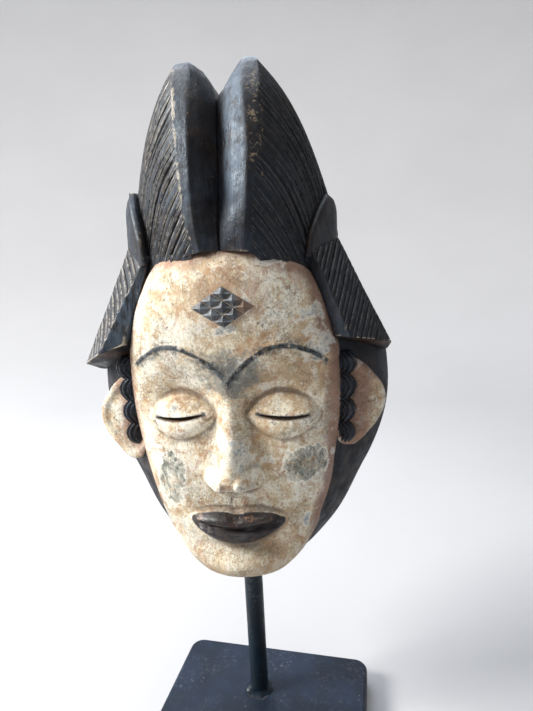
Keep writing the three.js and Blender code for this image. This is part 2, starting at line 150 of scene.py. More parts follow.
def resample(corners: Array, counts: Sequence[int], soften: int) -> Array:
    """Walk round closed outlines of a few corners with many points, and soften the corners.

    Each side is cut into its own count of equal steps, then each point moves to
    (before + 2 own + after) / 4 as often as soften says.

    Args:
        corners: outlines, (rows, corners, 3).
        counts: steps for each side, one for each corner.
        soften: how many rounds of softening.

    Returns:
        Outlines of sum(counts) points, (rows, points, 3).
    """
    sides = []
    for i, count in enumerate(counts):
        t = (np.arange(count) / count)[None, :, None]
        start = corners[:, i, None, :]
        end = corners[:, (i + 1) % len(counts), None, :]
        sides.append(mix(start, end, t))
    ring = np.concatenate(sides, axis=1)
    for _ in range(soften):
        ring = (np.roll(ring, 1, axis=1) + 2 * ring + np.roll(ring, -1, axis=1)) / 4
    return ring


def soften_grid(values: Array, rounds: int) -> Array:
    """Blur a grid of values by (before + 2 own + after) / 4 along both ways, keeping its edges."""
    for _ in range(rounds):
        for axis in (0, 1):
            padded = np.concatenate([values.take([0], axis), values, values.take([-1], axis)], axis)
            count = values.shape[axis]
            before, own, after = (padded.take(range(k, k + count), axis) for k in range(3))
            values = (before + 2 * own + after) / 4
    return values


@dataclass
class Shell:
    """A closed triangle mesh: points in millimetres of the mask's own frame, corner indices and locks.

    The locks are two numbers for each point: which lock it lies on, counted along the comb, and the share
    of its way from the ridge to the far side. The share is negative where nothing is combed.
    """

    points: Array
    triangles: Array
    locks: Array

    def mirrored(self) -> "Shell":
        """Give the same shell on the other side of the mask, still facing outwards."""
        return Shell(self.points * [-1, 1, 1], self.triangles[:, [0, 2, 1]], self.locks)


def loft(rings: Array, locks: Array | None = None) -> Shell:
    """Close a stack of rings into a shell that faces outwards.

    Each four points between two rings are split along their shorter diagonal, and each end is a fan round
    its mean.

    Args:
        rings: the stack, (rows, points, 3).
        locks: the lock and share of each point, (rows, points, 2), or nothing for a plain shell.

    Returns:
        The closed shell.
    """
    if locks is None:
        locks = np.full((*rings.shape[:2], 2), -1.0)
    locks = np.concatenate([locks.reshape(-1, 2), locks[[0, -1]].mean(axis=1)])
    rows, count, _ = rings.shape
    points = np.concatenate([rings.reshape(-1, 3), rings[[0, -1]].mean(axis=1)])
    row, col = np.meshgrid(np.arange(rows - 1), np.arange(count), indexing="ij")
    a = (row * count + col).ravel()
    b = (row * count + (col + 1) % count).ravel()
    c, d = b + count, a + count
    first = np.linalg.norm(points[a] - points[c], axis=1)
    second = np.linalg.norm(points[b] - points[d], axis=1)
    near = (first <= second)[:, None]
    one = np.where(near, np.stack([a, b, c], 1), np.stack([a, b, d], 1))
    two = np.where(near, np.stack([a, c, d], 1), np.stack([b, c, d], 1))
    i = np.arange(count)
    j = (i + 1) % count
    low = np.stack([j, i, np.full(count, rows * count)], 1)
    top = (rows - 1) * count
    high = np.stack([top + i, top + j, np.full(count, rows * count + 1)], 1)
    triangles = np.concatenate([one, two, low, high])
    p, q, r = (points[triangles[:, k]] for k in range(3))
    if np.einsum("ij,ij->i", p, np.cross(q, r)).sum() < 0:
        triangles = triangles[:, [0, 2, 1]]
    return Shell(points, triangles, locks)


def new_object(name: str, points: Array, triangles: Array, zone: int = 0) -> bpy.types.Object:
    """Make an object from points in metres and triangles.

    Args:
        name: the object's name.
        points: places, (n, 3).
        triangles: corner indices, (m, 3).
        zone: material slot of every face.

    Returns:
        The object, linked to the scene.
    """
    mesh = bpy.data.meshes.new(name)
    mesh.vertices.add(len(points))
    mesh.vertices.foreach_set("co", points.astype(np.float32).ravel())
    mesh.loops.add(len(triangles) * 3)
    mesh.loops.foreach_set("vertex_index", triangles.astype(np.int32).ravel())
    mesh.polygons.add(len(triangles))
    mesh.polygons.foreach_set("loop_start", np.arange(0, len(triangles) * 3, 3, dtype=np.int32))
    mesh.polygons.foreach_set("material_index", np.full(len(triangles), zone, np.int32))
    mesh.update(calc_edges=True)
    made = bpy.data.objects.new(name, mesh)
    bpy.context.scene.collection.objects.link(made)
    return made


def keep_numbers(mesh: bpy.types.Mesh, name: str, numbers: Array) -> None:
    """Keep one number for each point as an attribute that a material reads."""
    mesh.attributes.new(name, "FLOAT", "POINT").data.foreach_set("value", numbers.astype(np.float32))


class Sheet:
    """One material's node tree, with short calls for the nodes it uses."""

    def __init__(self, name: str) -> None:
        """Start an empty material with a Principled shader."""
        self.material = bpy.data.materials.new(name)
        self.material.use_nodes = True
        self.tree = self.material.node_tree
        self.tree.nodes.clear()
        self.out = self.tree.nodes.new("ShaderNodeOutputMaterial")
        self.shader = self.tree.nodes.new("ShaderNodeBsdfPrincipled")
        self.tree.links.new(self.shader.outputs[0], self.out.inputs[0])
        self.place = self.tree.nodes.new("ShaderNodeTexCoord").outputs["Object"]

    def put(self, value: object, socket: Socket) -> None:
        """Link a socket, or set a plain value on one."""
        if isinstance(value, Socket):
            self.tree.links.new(value, socket)
        elif socket.type == "RGBA":
            red, green, blue = value if isinstance(value, tuple) else (value,) * 3
            socket.default_value = (red, green, blue, 1.0)
        else:
            socket.default_value = value

    def math(self, operation: str, a: object, b: object = 0.0) -> Socket:
        """Add a Math node."""
        node = self.tree.nodes.new("ShaderNodeMath")
        node.operation = operation
        self.put(a, node.inputs[0])
        self.put(b, node.inputs[1])
        return node.outputs[0]

    def stretched(self, scale: tuple[float, float, float], shift: float = 0.0) -> Socket:
        """Give the object coordinates stretched by scale and shifted."""
        node = self.tree.nodes.new("ShaderNodeMapping")
        node.inputs["Scale"].default_value = scale
        node.inputs["Location"].default_value = (shift, shift * 0.7, shift * 1.3)
        self.put(self.place, node.inputs["Vector"])
        return node.outputs[0]

    def noise(self, scale: float, detail: float = 4.0, rough: float = 0.55, warp: float = 0.0,
              at: Socket | None = None, shift: float = 0.0) -> Socket:
        """Add a Noise Texture and give its factor."""
        node = self.tree.nodes.new("ShaderNodeTexNoise")
        node.inputs["Scale"].default_value = scale
        node.inputs["Detail"].default_value = detail
        node.inputs["Roughness"].default_value = rough
        node.inputs["Distortion"].default_value = warp
        self.put(at or self.stretched((1, 1, 1), shift), node.inputs["Vector"])
        return node.outputs["Fac"]

    def cells(self, scale: float, feature: str = "DISTANCE_TO_EDGE", shift: float = 0.0,
              at: Socket | None = None) -> Socket:
        """Add a Voronoi Texture and give its distance."""
        node = self.tree.nodes.new("ShaderNodeTexVoronoi")
        node.feature = feature
        node.inputs["Scale"].default_value = scale
        self.put(at or self.stretched((1, 1, 1), shift), node.inputs["Vector"])
        return node.outputs["Distance"]

    def field(self, name: str) -> Socket:
        """Read one of the mesh's own attributes."""
        node = self.tree.nodes.new("ShaderNodeAttribute")
        node.attribute_name = name
        return node.outputs["Fac"]

    def span(self, value: Socket, low: float, high: float,
             to_low: float = 0.0, to_high: float = 1.0) -> Socket:
        """Map low..high to to_low..to_high smoothly, held at both ends."""
        node = self.tree.nodes.new("ShaderNodeMapRange")
        node.interpolation_type = "SMOOTHSTEP"
        self.put(value, node.inputs["Value"])
        ends = {"From Min": low, "From Max": high, "To Min": to_low, "To Max": to_high}
        for key, number in ends.items():
            node.inputs[key].default_value = number
        return node.outputs["Result"]

    def place_parts(self) -> tuple[Socket, Socket, Socket]:
        """Give the mask's own millimetres, across, deep and up, as the mesh keeps them."""
        node = self.tree.nodes.new("ShaderNodeAttribute")
        node.attribute_name = "place"
        parts = self.tree.nodes.new("ShaderNodeSeparateXYZ")
        self.put(node.outputs["Vector"], parts.inputs[0])
        return tuple(parts.outputs)

    def spot(self, centre: tuple[float, float], reach: tuple[float, float]) -> Socket:
        """Give 1 in the middle of an oval of the front view and 0 on its edge: 1 - dx^2 - dz^2."""
        x, _, z = self.place_parts()
        squares = []
        for value, middle, half in ((x, centre[0], reach[0]), (z, centre[1], reach[1])):
            share = self.math("DIVIDE", self.math("SUBTRACT", value, middle), half)
            squares.append(self.math("MULTIPLY", share, share))
        return self.math("SUBTRACT", 1.0, self.math("ADD", *squares))

    def about_zero(self, value: Socket, amount: float) -> Socket:
        """Turn a noise about 0.5 into one about 0: (value - 0.5) amount."""
        return self.math("MULTIPLY", self.math("SUBTRACT", value, 0.5), amount)

    def jitter(self, scale: float, amount: float, shift: float = 0.0) -> Socket:
        """Give noise about 0 that ranges over about a quarter of amount to each side."""
        return self.about_zero(self.noise(scale, 7, 0.68, shift=shift), amount)

    def sum(self, *values: object) -> Socket:
        """Add several values."""
        total = values[0]
        for value in values[1:]:
            total = self.math("ADD", total, value)
        return total

    def times(self, *values: object) -> Socket:
        """Multiply several values."""
        total = values[0]
        for value in values[1:]:
            total = self.math("MULTIPLY", total, value)
        return total

    def blend(self, share: object, under: object, over: object, mode: str = "MIX") -> Socket:
        """Lay one colour over another by a share."""
        node = self.tree.nodes.new("ShaderNodeMix")
        node.data_type = "RGBA"
        node.blend_type = mode
        self.put(share, node.inputs["Factor"])
        self.put(under, node.inputs["A"])
        self.put(over, node.inputs["B"])
        return node.outputs["Result"]

    def finish(self, colour: object, rough: object, height: Socket | None = None,
               depth: float = 0.3, strength: float = 0.6, **sockets: float) -> bpy.types.Material:
        """Set the shader's colour, roughness, bump and plain values."""
        self.put(colour, self.shader.inputs["Base Color"])
        self.put(rough, self.shader.inputs["Roughness"])
        if height is not None:
            node = self.tree.nodes.new("ShaderNodeBump")
            node.inputs["Strength"].default_value = strength
            node.inputs["Distance"].default_value = depth * MM
            self.put(height, node.inputs["Height"])
            self.put(node.outputs[0], self.shader.inputs["Normal"])
        for name, value in sockets.items():
            self.shader.inputs[name.replace("_", " ")].default_value = value
        return self.material


class Zone(IntEnum):
    """The painted parts of the mask, each a material slot of its mesh."""

    SKIN = 0
    HAIR = 1
    BOWL = 2
    EAR = 3
    TEMPLE = 4
    SCAR = 5
    HOLLOW = 6
    SLIT = 7


@dataclass(frozen=True)
class Pigments:
    """Linear colours of the mask's paints and dirt, and of the wood under them."""

    # the clay paint's ground and its wear
    cream: Colour = (0.78, 0.69, 0.50)
    tan: Colour = (0.56, 0.41, 0.25)
    white: Colour = (0.90, 0.87, 0.76)
    orange: Colour = (0.42, 0.21, 0.09)
    rose: Colour = (0.27, 0.15, 0.12)
    rust: Colour = (0.34, 0.20, 0.13)
    red_speck: Colour = (0.20, 0.075, 0.035)
    dark_stain: Colour = (0.36, 0.20, 0.12)
    pale_stain: Colour = (0.50, 0.32, 0.19)
    chin_tan: Colour = (0.46, 0.33, 0.19)
    scuff: Colour = (0.30, 0.29, 0.26)
    grit: Colour = (0.17, 0.10, 0.055)
    crackle: Colour = (0.16, 0.10, 0.06)
    hollow_darkening: Colour = (0.15, 0.095, 0.06)
    slate: Colour = (0.24, 0.30, 0.33)
    pale_slate: Colour = (0.52, 0.57, 0.56)
    # the painting on the clay
    moss: Colour = (0.085, 0.095, 0.080)
    patch_dark: Colour = (0.13, 0.145, 0.125)
    patch_pale: Colour = (0.34, 0.35, 0.30)
    soot: Colour = (0.03, 0.03, 0.028)
    chalk: Colour = (0.66, 0.64, 0.54)
    thin_ink: Colour = (0.085, 0.10, 0.11)
    lip_brown: Colour = (0.035, 0.020, 0.015)
    lip_rub: Colour = (0.10, 0.045, 0.025)
    lip_bare: Colour = (0.22, 0.13, 0.075)
    # the dark pigment of the hair and the bowl
    black: Colour = (0.012, 0.010, 0.011)
    warm_black: Colour = (0.018, 0.014, 0.013)
    # painted shade: the darkening of the combed faces on the right side
    comb_shade_black: Colour = (0.006, 0.005, 0.006)
    cut_black: Colour = (0.004, 0.004, 0.004)
    hollow_black: Colour = (0.005, 0.004, 0.004)
    brown_wash: Colour = (0.055, 0.031, 0.017)
    # partly the blue-grey tone of worn pigment, partly painted sheen
    blue_tone_and_sheen: Colour = (0.036, 0.052, 0.076)
    # painted sheen: the blue-grey of a highlight on the hair's front faces
    painted_sheen: Colour = (0.066, 0.088, 0.116)
    fleck: Colour = (0.14, 0.092, 0.052)
    crumb: Colour = (0.24, 0.20, 0.14)
    edge_brown: Colour = (0.10, 0.072, 0.048)
    strand_grey: Colour = (0.060, 0.056, 0.052)
    rubbed: Colour = (0.30, 0.27, 0.22)
    ridge_tan: Colour = (0.24, 0.20, 0.15)
    ochre: Colour = (0.25, 0.19, 0.12)
    under_dark: Colour = (0.007, 0.005, 0.005)
    under_brown: Colour = (0.060, 0.027, 0.012)
    # wood and dust
    umber: Colour = (0.050, 0.026, 0.016)
    dull_wood: Colour = (0.09, 0.052, 0.03)
    wood: Colour = (0.19, 0.10, 0.05)
    pale_wood: Colour = (0.42, 0.31, 0.20)
    dust: Colour = (0.50, 0.44, 0.34)
    # the diamond
    scar_dark: Colour = (0.030, 0.035, 0.041)
    scar_pale: Colour = (0.11, 0.128, 0.142)
    scar_edge: Colour = (0.30, 0.32, 0.32)
    scar_stain: Colour = (0.16, 0.085, 0.045)
    scar_clay: Colour = (0.46, 0.43, 0.36)
    # dust and wear on the stand
    stand_veil: Colour = (0.16, 0.17, 0.185)
    stand_speck: Colour = (0.30, 0.29, 0.27)
    stand_edge: Colour = (0.09, 0.09, 0.095)


PIGMENTS = Pigments()

# Soft ovals of the front view, in the mask's millimetres: (across, up), (half width, half height), strength.
Oval = tuple[tuple[float, float], tuple[float, float], float]
GREY_PATCHES: tuple[Oval, ...] = (
    ((-10, 146), (18, 5), 0.10), ((34, 168), (12, 10), 0.09), ((4, 88), (6, 16), 0.12),
    ((34, 40), (6, 20), 0.08), ((27, 116), (15, 4), 0.08), ((22, 180), (9, 4), 0.1))
# where the hair's painted sheen lies: a blue-grey highlight on its front faces
PAINTED_SHEEN_OVALS: tuple[Oval, ...] = (
    ((10, 238), (7, 42), 0.95), ((-17, 228), (7, 44), 0.4), ((-62, 160), (20, 30), 0.8))


@dataclass(frozen=True)
class KaolinFinish:
    """Cracked and rubbed white clay paint, with the dark painting on it."""

    name: str = "kaolin"
    wear: float = 0.5
    painted: bool = True

    def make(self) -> bpy.types.Material:
        """Build the material.

        Returns:
            A material that reads object coordinates and the mesh's own fields.
        """
        s = Sheet(self.name)
        p = PIGMENTS
        wide, mid = s.noise(30, 5, 0.6, 0.5), s.noise(105, 7, 0.66, 0.7, shift=1.9)
        small, fine = s.noise(290, 6, 0.7, 0.4, shift=6.9), s.noise(620, 6, 0.72, 0.3, shift=4.7)
        brush = s.noise(1.0, 6, 0.66, 0.4, s.stretched((760, 760, 170), 3.0))
        convex, hollow = s.field("convex"), s.field("hollow")
        # tan ground, cream over it, white where it was rubbed least, a little whiter on convex edges as a
        # painted highlight
        ground = s.sum(s.times(mid, 0.45), s.times(small, 0.3), s.times(fine, 0.35),
                       s.times(wide, 0.45), -0.275)
        colour = s.blend(s.span(ground, 0.40, 0.55), p.tan, p.cream)
        white_and_edge_highlight = s.sum(s.times(wide, 0.4), s.times(mid, 0.2), s.times(brush, 0.3), s.times(fine, 0.15),
                      s.times(convex, 0.03))
        colour = s.blend(s.span(white_and_edge_highlight, 0.50, 0.58, 0, 0.8), colour, p.white)
        rub = s.times(s.span(s.noise(85, 7, 0.72, 0.9, shift=5.1), 0.48, 0.62),
                      s.span(small, 0.38, 0.56), 0.75)
        colour = s.blend(rub, colour, p.orange)
        scuff = s.times(s.span(s.noise(240, 9, 0.78, 1.2, shift=7.3), 0.56, 0.62),
                        s.span(mid, 0.44, 0.56), 0.6)
        colour = s.blend(scuff, colour, p.scuff)
        grit = s.times(s.span(s.noise(1150, 3, 0.6, shift=3.7), 0.57, 0.63), s.span(mid, 0.36, 0.56), 0.65)
        colour = s.blend(grit, colour, p.grit)
        colour = self.stains(s, colour, fine)
        colour = self.greys(s, colour)
        # crackle and flakes down to the wood
        warped = s.blend(0.010, s.place, s.noise(260, 2, shift=3.3), "LINEAR_LIGHT")
        crack = s.span(s.cells(380, at=warped), 0.0, 0.07, 1, 0)
        crack = s.times(crack, s.span(s.noise(70, 5, shift=8.8), 0.45, 0.58))
        colour = s.blend(s.times(crack, 0.5), colour, p.crackle)
        lift = s.sum(s.noise(190, 9, 0.7, 0.6, shift=6.4), s.span(convex, 0.1, 0.8, 0, 0.07))
        sooner = 0.06 * self.wear
        bare = s.span(lift, 0.665 - sooner, 0.69 - sooner)
        rim = s.times(s.span(lift, 0.63 - sooner, 0.66 - sooner), 0.5)
        colour = s.blend(rim, colour, p.white)
        wood = s.blend(s.noise(500, 4, shift=4.4), p.wood, p.pale_wood)
        colour = s.blend(s.times(bare, 0.9), colour, wood)
        # darker brown in the hollows
        hollow_darkening = s.span(s.sum(hollow, s.jitter(170, 0.5, 7.7)), 0.12, 0.75, 0, 0.72)
        colour = s.blend(hollow_darkening, colour, p.hollow_darkening)
        gloss = s.span(s.sum(wide, s.times(convex, 0.1)), 0.35, 0.7, 0.78, 0.55)
        level = s.sum(s.times(fine, 0.45), s.times(mid, 1.2), s.times(brush, 0.5), s.times(bare, -0.8),
                      s.times(crack, -0.5))
        if self.painted:
            colour, gloss, level = self.painting(s, colour, gloss, level)
        return s.finish(colour, gloss, level, 0.6, 0.9)

    def stains(self, s: Sheet, colour: object, fine: object) -> object:
        """Lay the brown and rose borders and the red specks over the ground; the brown border is stain, and
        it widens down the right side as painted shade.

        Args:
            s: the sheet in work.
            colour: the colour so far.
            fine: the finest noise.

        Returns:
            The colour with the stains.
        """
        p = PIGMENTS
        across, _, up = s.place_parts()
        # painted shade: the rose-brown border is stain, and it widens down the right side as painted shade
        right_side_painted_shade = s.span(across, 18, 54, 0, 5.5)
        seam = s.sum(s.field("edge"), s.jitter(150, 9.0, 7.7), s.times(right_side_painted_shade, -1.0))
        brown = s.blend(s.span(fine, 0.4, 0.6), p.rose, p.rust)
        colour = s.blend(s.span(seam, -0.5, 7.5, 0.9, 0), colour, brown)
        specks = s.times(s.span(s.noise(560, 3, 0.6, shift=2.2), 0.57, 0.64),
                         s.span(s.noise(48, 3, shift=1.2), 0.4, 0.62))
        above = s.span(s.spot((0, 54), (26, 9)), -0.4, 0.4, 0.35, 1.0)
        colour = s.blend(s.times(specks, above, 0.8), colour, p.red_speck)
        ring = s.spot((4, 162), (26, 17))
        stain = s.span(s.sum(ring, s.jitter(120, 2.6, 5.5)), 0.1, 0.7, 0, 0.75)
        colour = s.blend(s.times(stain, 0.75), colour, s.blend(fine, p.dark_stain, p.pale_stain))
        low = s.span(s.sum(up, s.jitter(120, 30, 2.5)), 4, 26, 0.55, 0)
        return s.blend(low, colour, p.chin_tan)

    def greys(self, s: Sheet, colour: object) -> object:
        """Lay blue-grey worn patches with pale broken borders over the ground.

        Args:
            s: the sheet in work.
            colour: the colour so far.

        Returns:
            The colour with the patches.
        """
        p = PIGMENTS
        where = s.sum(s.times(s.noise(50, 3, 0.5, 0.3, shift=9.3), 0.8), 0.095, s.jitter(230, 0.3, 1.7))
        for centre, reach, gain in GREY_PATCHES:
            where = s.sum(where, s.span(s.spot(centre, reach), -0.5, 0.7, 0, gain))
        border = s.span(where, 0.585, 0.615, 0, 0.6)
        colour = s.blend(border, colour, p.white)
        tint = s.blend(s.span(s.noise(330, 5, shift=6.1), 0.42, 0.6), p.slate, p.pale_slate)
        patch = s.times(s.span(where, 0.62, 0.675, 0, 0.85),
                        s.span(s.noise(420, 6, 0.7, shift=2.6), 0.38, 0.54))
        colour = s.blend(patch, colour, tint)
        # a dark smear where the brows meet over the nose
        smear = s.sum(s.spot((1, 124), (21, 15)), s.jitter(110, 2.6, 3.1), s.jitter(420, 1.4, 6.3))
        smear = s.span(smear, 0.15, 0.75, 0, 0.72)
        return s.blend(smear, colour, s.blend(s.noise(300, 5), p.moss, p.slate))

    def painting(self, s: Sheet, colour: object, gloss: object,
                 level: object) -> tuple[object, object, object]:
        """Paint the brows, the lids' line, the cheek patches and the lips.

        Args:
            s: the sheet in work.
            colour: the colour so far.
            gloss: the roughness so far.
            level: the bump height so far.

        Returns:
            Colour, roughness and height with the painting.
        """
        p = PIGMENTS
        worn = s.sum(s.field("patch"), s.jitter(75, 3.4, 7.1), s.jitter(260, 2.2, 3.9))
        border = s.times(s.span(worn, -0.05, 0.15), s.span(worn, 0.6, 0.3), 0.8)
        colour = s.blend(border, colour, p.white)
        inside = s.blend(s.span(s.noise(150, 7, 0.7, shift=3.3), 0.42, 0.54), p.patch_dark, p.patch_pale)
        inside = s.blend(s.span(s.noise(620, 4, 0.7, shift=5.3), 0.58, 0.64, 0, 0.8), inside, p.soot)
        streak = s.noise(1.0, 6, 0.7, 0.8, s.stretched((330, 330, 120), 6.0))
        inside = s.blend(s.span(streak, 0.49, 0.58, 0, 0.85), inside, p.chalk)
        held = s.times(s.span(worn, 0.22, 0.5),
                       s.span(s.noise(210, 7, 0.72, shift=8.8), 0.40, 0.52, 0.25, 0.9))
        colour = s.blend(held, colour, inside)
        brow = s.sum(s.field("brow"), s.jitter(300, 1.3, 1.4), s.jitter(70, 2.2, 5.0))
        stroke = s.times(s.span(brow, 0.7, 2.1, 1, 0),
                         s.span(s.noise(300, 5, 0.7, shift=2.0), 0.36, 0.48, 0.3, 1))
        smudge = s.times(s.span(brow, 1.0, 6.5, 1, 0),
                         s.span(s.noise(150, 8, 0.72, 0.5, shift=1.1), 0.49, 0.57), 0.75)
        slit = s.sum(s.field("slit"), s.jitter(400, 1.6, 0.6))
        line = s.span(slit, 0.5, 1.8, 0.92, 0)
        dark = s.math("MAXIMUM", s.math("MAXIMUM", stroke, smudge), line)
        ink = s.blend(s.span(s.noise(380, 5, shift=8.0), 0.4, 0.62), p.black, p.thin_ink)
        colour = s.blend(dark, colour, ink)
        edge = s.sum(s.field("lips"), s.jitter(260, 0.9, 2.1))
        paint = s.span(edge, 0.0, 0.5)
        mouth = s.blend(s.span(s.noise(120, 7, 0.66, 0.6, shift=2.9), 0.46, 0.62), p.black, p.lip_brown)
        rub = s.sum(s.noise(150, 8, 0.72, shift=4.2), s.times(s.field("convex"), 0.05))
        rub = s.span(rub, 0.60, 0.68, 0, 0.85)
        mouth = s.blend(rub, mouth, s.blend(s.noise(500, 4), p.lip_rub, p.lip_bare))
        colour = s.blend(paint, colour, mouth)
        gloss = s.blend(paint, gloss, 0.34)
        level = s.times(level, s.span(edge, 0.0, 0.5, 1.0, 0.4))
        return colour, gloss, s.sum(level, s.times(dark, 0.25), s.times(paint, 0.3))


@dataclass(frozen=True)
class PigmentFinish:
    """Near-black pigment on carved wood, polished, combed with fine lines and worn along its edges.

    Under is how far the faces that look down show brown wood.
    """

    name: str = "dark_pigment"
    shine: float = 0.40
    blue_tone_and_sheen: float = 0.5
    brown: float = 0.5
    worn: float = 0.8
    under: float = 0.0
    combed: bool = False
    sheen: Colour = (0.70, 0.85, 1.0)

    def make(self) -> bpy.types.Material:
        """Build the material.

        Returns:
            A material that reads object coordinates and the mesh's own fields.
        """
        s = Sheet(self.name)
        p = PIGMENTS
        grain = s.noise(1.0, 7, 0.7, 0.5, s.stretched((650, 650, 55), 2.0))
        cloud = s.noise(55, 7, 0.66, 0.6, shift=3.1)
        chips = s.noise(300, 8, 0.72, 0.4, shift=5.5)
        colour = s.blend(s.span(grain, 0.42, 0.62, 0, 0.9), p.black, p.warm_black)
        wash = s.times(s.span(cloud, 0.44, 0.64), s.span(grain, 0.36, 0.6), self.brown)
        colour = s.blend(wash, colour, p.brown_wash)
        # blue-grey patches: partly the worn pigment's own tone, partly painted sheen of a blue reflection
        blue_tone_and_sheen = s.times(s.span(s.noise(34, 6, 0.62, 0.4, shift=6.6), 0.44, 0.60),
                       s.span(grain, 0.34, 0.56), self.blue_tone_and_sheen)
        colour = s.blend(blue_tone_and_sheen, colour, p.blue_tone_and_sheen)
        fleck = s.noise(1.0, 8, 0.75, 0.4, s.stretched((900, 900, 300), 7.0))
        fleck = s.times(s.span(fleck, 0.60, 0.67), s.span(cloud, 0.42, 0.6), 0.8 * self.worn)
        colour = s.blend(fleck, colour, p.fleck)
        crumb = s.times(s.span(s.noise(800, 5, 0.7, shift=9.6), 0.62, 0.68),
                        s.span(cloud, 0.46, 0.58), self.worn)
        colour = s.blend(crumb, colour, p.crumb)
        level = s.sum(s.times(grain, 0.6), s.times(s.noise(150, 6, 0.65), 1.5))
        if self.combed:
            colour, level = self.comb(s, colour, level, chips)
        # worn ridges: brown, then pale, weaker at the back and none where the clay begins
        ridge = s.sum(s.field("convex"), s.about_zero(chips, 3.2), s.jitter(60, 1.6, 2.6))
        _, deep, _ = s.place_parts()
        keep = s.times(s.span(s.field("edge"), 1.5, 6.0),
                       s.span(s.noise(120, 6, 0.66, shift=2.2), 0.42, 0.56), s.span(deep, -12, 4, 1, 0.4))
        edge = s.times(s.span(ridge, 0.55, 1.0), keep, 0.7 * self.worn)
        colour = s.blend(edge, colour, p.edge_brown)
        colour = s.blend(s.times(s.span(ridge, 0.95, 1.3), keep, self.worn), colour, p.dust)
        wood = s.blend(s.span(cloud, 0.42, 0.60), p.under_dark, p.under_brown)
        below = s.times(s.span(s.field("under"), 0.20, 0.60), self.under)
        colour = s.blend(below, colour, wood)
        bare = s.times(s.span(s.noise(130, 9, 0.72, 0.5, shift=8.1), 0.665, 0.69), self.worn)
        colour = s.blend(bare, colour, s.blend(chips, p.wood, p.pale_wood))
        colour = s.blend(s.span(s.field("hollow"), 0.1, 0.6, 0, 0.6), colour, p.hollow_black)
        gloss = s.span(s.noise(100, 7, 0.68, shift=1.3), 0.36, 0.66, self.shine - 0.1, self.shine + 0.2)
        level = s.sum(level, s.times(bare, -0.5), s.times(chips, 0.25))
        s.put(self.sheen, s.shader.inputs["Specular Tint"])
        return s.finish(colour, gloss, level, 0.5, 0.75, Specular_IOR_Level=0.37)

    def comb(self, s: Sheet, colour: object, level: object, chips: object) -> tuple[object, object]:
        """Cut fine lines along the locks: a V at each whole lock, and strands that follow it.

        Args:
            s: the sheet in work.
            colour: the colour so far.
            level: the bump height so far.
            chips: noise that breaks the worn lines.

        Returns:
            Colour and height with the lines.
        """
        lock, share = s.field("lock"), s.field("comb")
        p = PIGMENTS
        on = s.span(share, 0.0, 0.03)
        off = s.math("ABSOLUTE", s.math("SUBTRACT", s.math("FRACT", s.math("ADD", lock, 0.25)), 0.5))
        node = s.tree.nodes.new("ShaderNodeCombineXYZ")
        s.put(s.times(lock, 5.0), node.inputs[0])
        s.put(s.times(share, 3.0), node.inputs[1])
        strand = s.noise(1.0, 5, 0.62, 0.2, node.outputs[0])
        cut = s.times(s.span(off, 0.02, 0.11, 1, 0), on)
        side = s.times(s.span(off, 0.10, 0.16), s.span(off, 0.2, 0.34, 1, 0), on)
        across, deep, _ = s.place_parts()
        # painted light: the rubbed lines and the strands show fully on the lit left side and fade to a
        # quarter on the shaded right
        lit = s.span(across, -8, 12, 1, 0.25)
        # painted shade: the combed faces darken towards the right side, away from the light
        colour = s.blend(s.times(on, s.span(across, 2, 14, 0, 0.65)), colour, p.comb_shade_black)
        rubbed = s.times(side, lit, s.span(s.sum(chips, s.times(strand, 0.5)), 0.66, 0.82), self.worn)
        strands = s.times(s.span(strand, 0.5, 0.66), on, lit, 0.45)
        colour = s.blend(strands, colour, p.strand_grey)
        colour = s.blend(rubbed, colour, p.rubbed)
        # painted sheen: a blue-grey highlight painted on the faces towards the front, none low down where
        # they stay brown and dull
        sheen_streaks = s.noise(1.0, 7, 0.68, 0.4, s.stretched((420, 420, 45), 9.0))
        front = 0.0
        for centre, reach, gain in PAINTED_SHEEN_OVALS:
            front = s.math("MAXIMUM", front, s.span(s.spot(centre, reach), 0.0, 0.6, 0, gain))
        front = s.times(front, s.span(deep, -22, -12, 1, 0), s.math("SUBTRACT", 1.0, on),
                        s.span(s.sum(sheen_streaks, s.jitter(190, 0.5, 7.2)), 0.38, 0.58, 0.05, 0.95))
        colour = s.blend(front, colour, p.painted_sheen)
        # the left lobe's ridge line, partly rubbed wear and partly a painted highlight, and an ochre smear
        # beside the right lobe's ridge
        line = s.sum(s.span(share, -0.10, -0.01), s.jitter(300, 3.4, 4.1), s.jitter(60, 2.6, 4.8))
        line = s.times(s.span(line, 0.85, 1.25), s.span(share, 0.0, 0.03, 1, 0),
                       s.span(across, -8, -5, 1, 0))
        colour = s.blend(s.times(line, self.worn), colour, s.blend(chips, p.ridge_tan, p.dust))
        crumbs = s.sum(s.noise(560, 8, 0.75, shift=5.9), s.jitter(90, 0.5, 2.2))
        ochre = s.times(s.span(s.spot((19, 246), (7, 26)), 0.0, 0.5), s.span(share, -0.3, -0.15),
                        s.span(crumbs, 0.54, 0.60))
        colour = s.blend(s.times(ochre, 0.85), colour, p.ochre)
        colour = s.blend(s.times(cut, 0.85), colour, p.cut_black)
        return colour, s.sum(level, s.times(cut, -1.4), s.times(strand, on, 0.8))


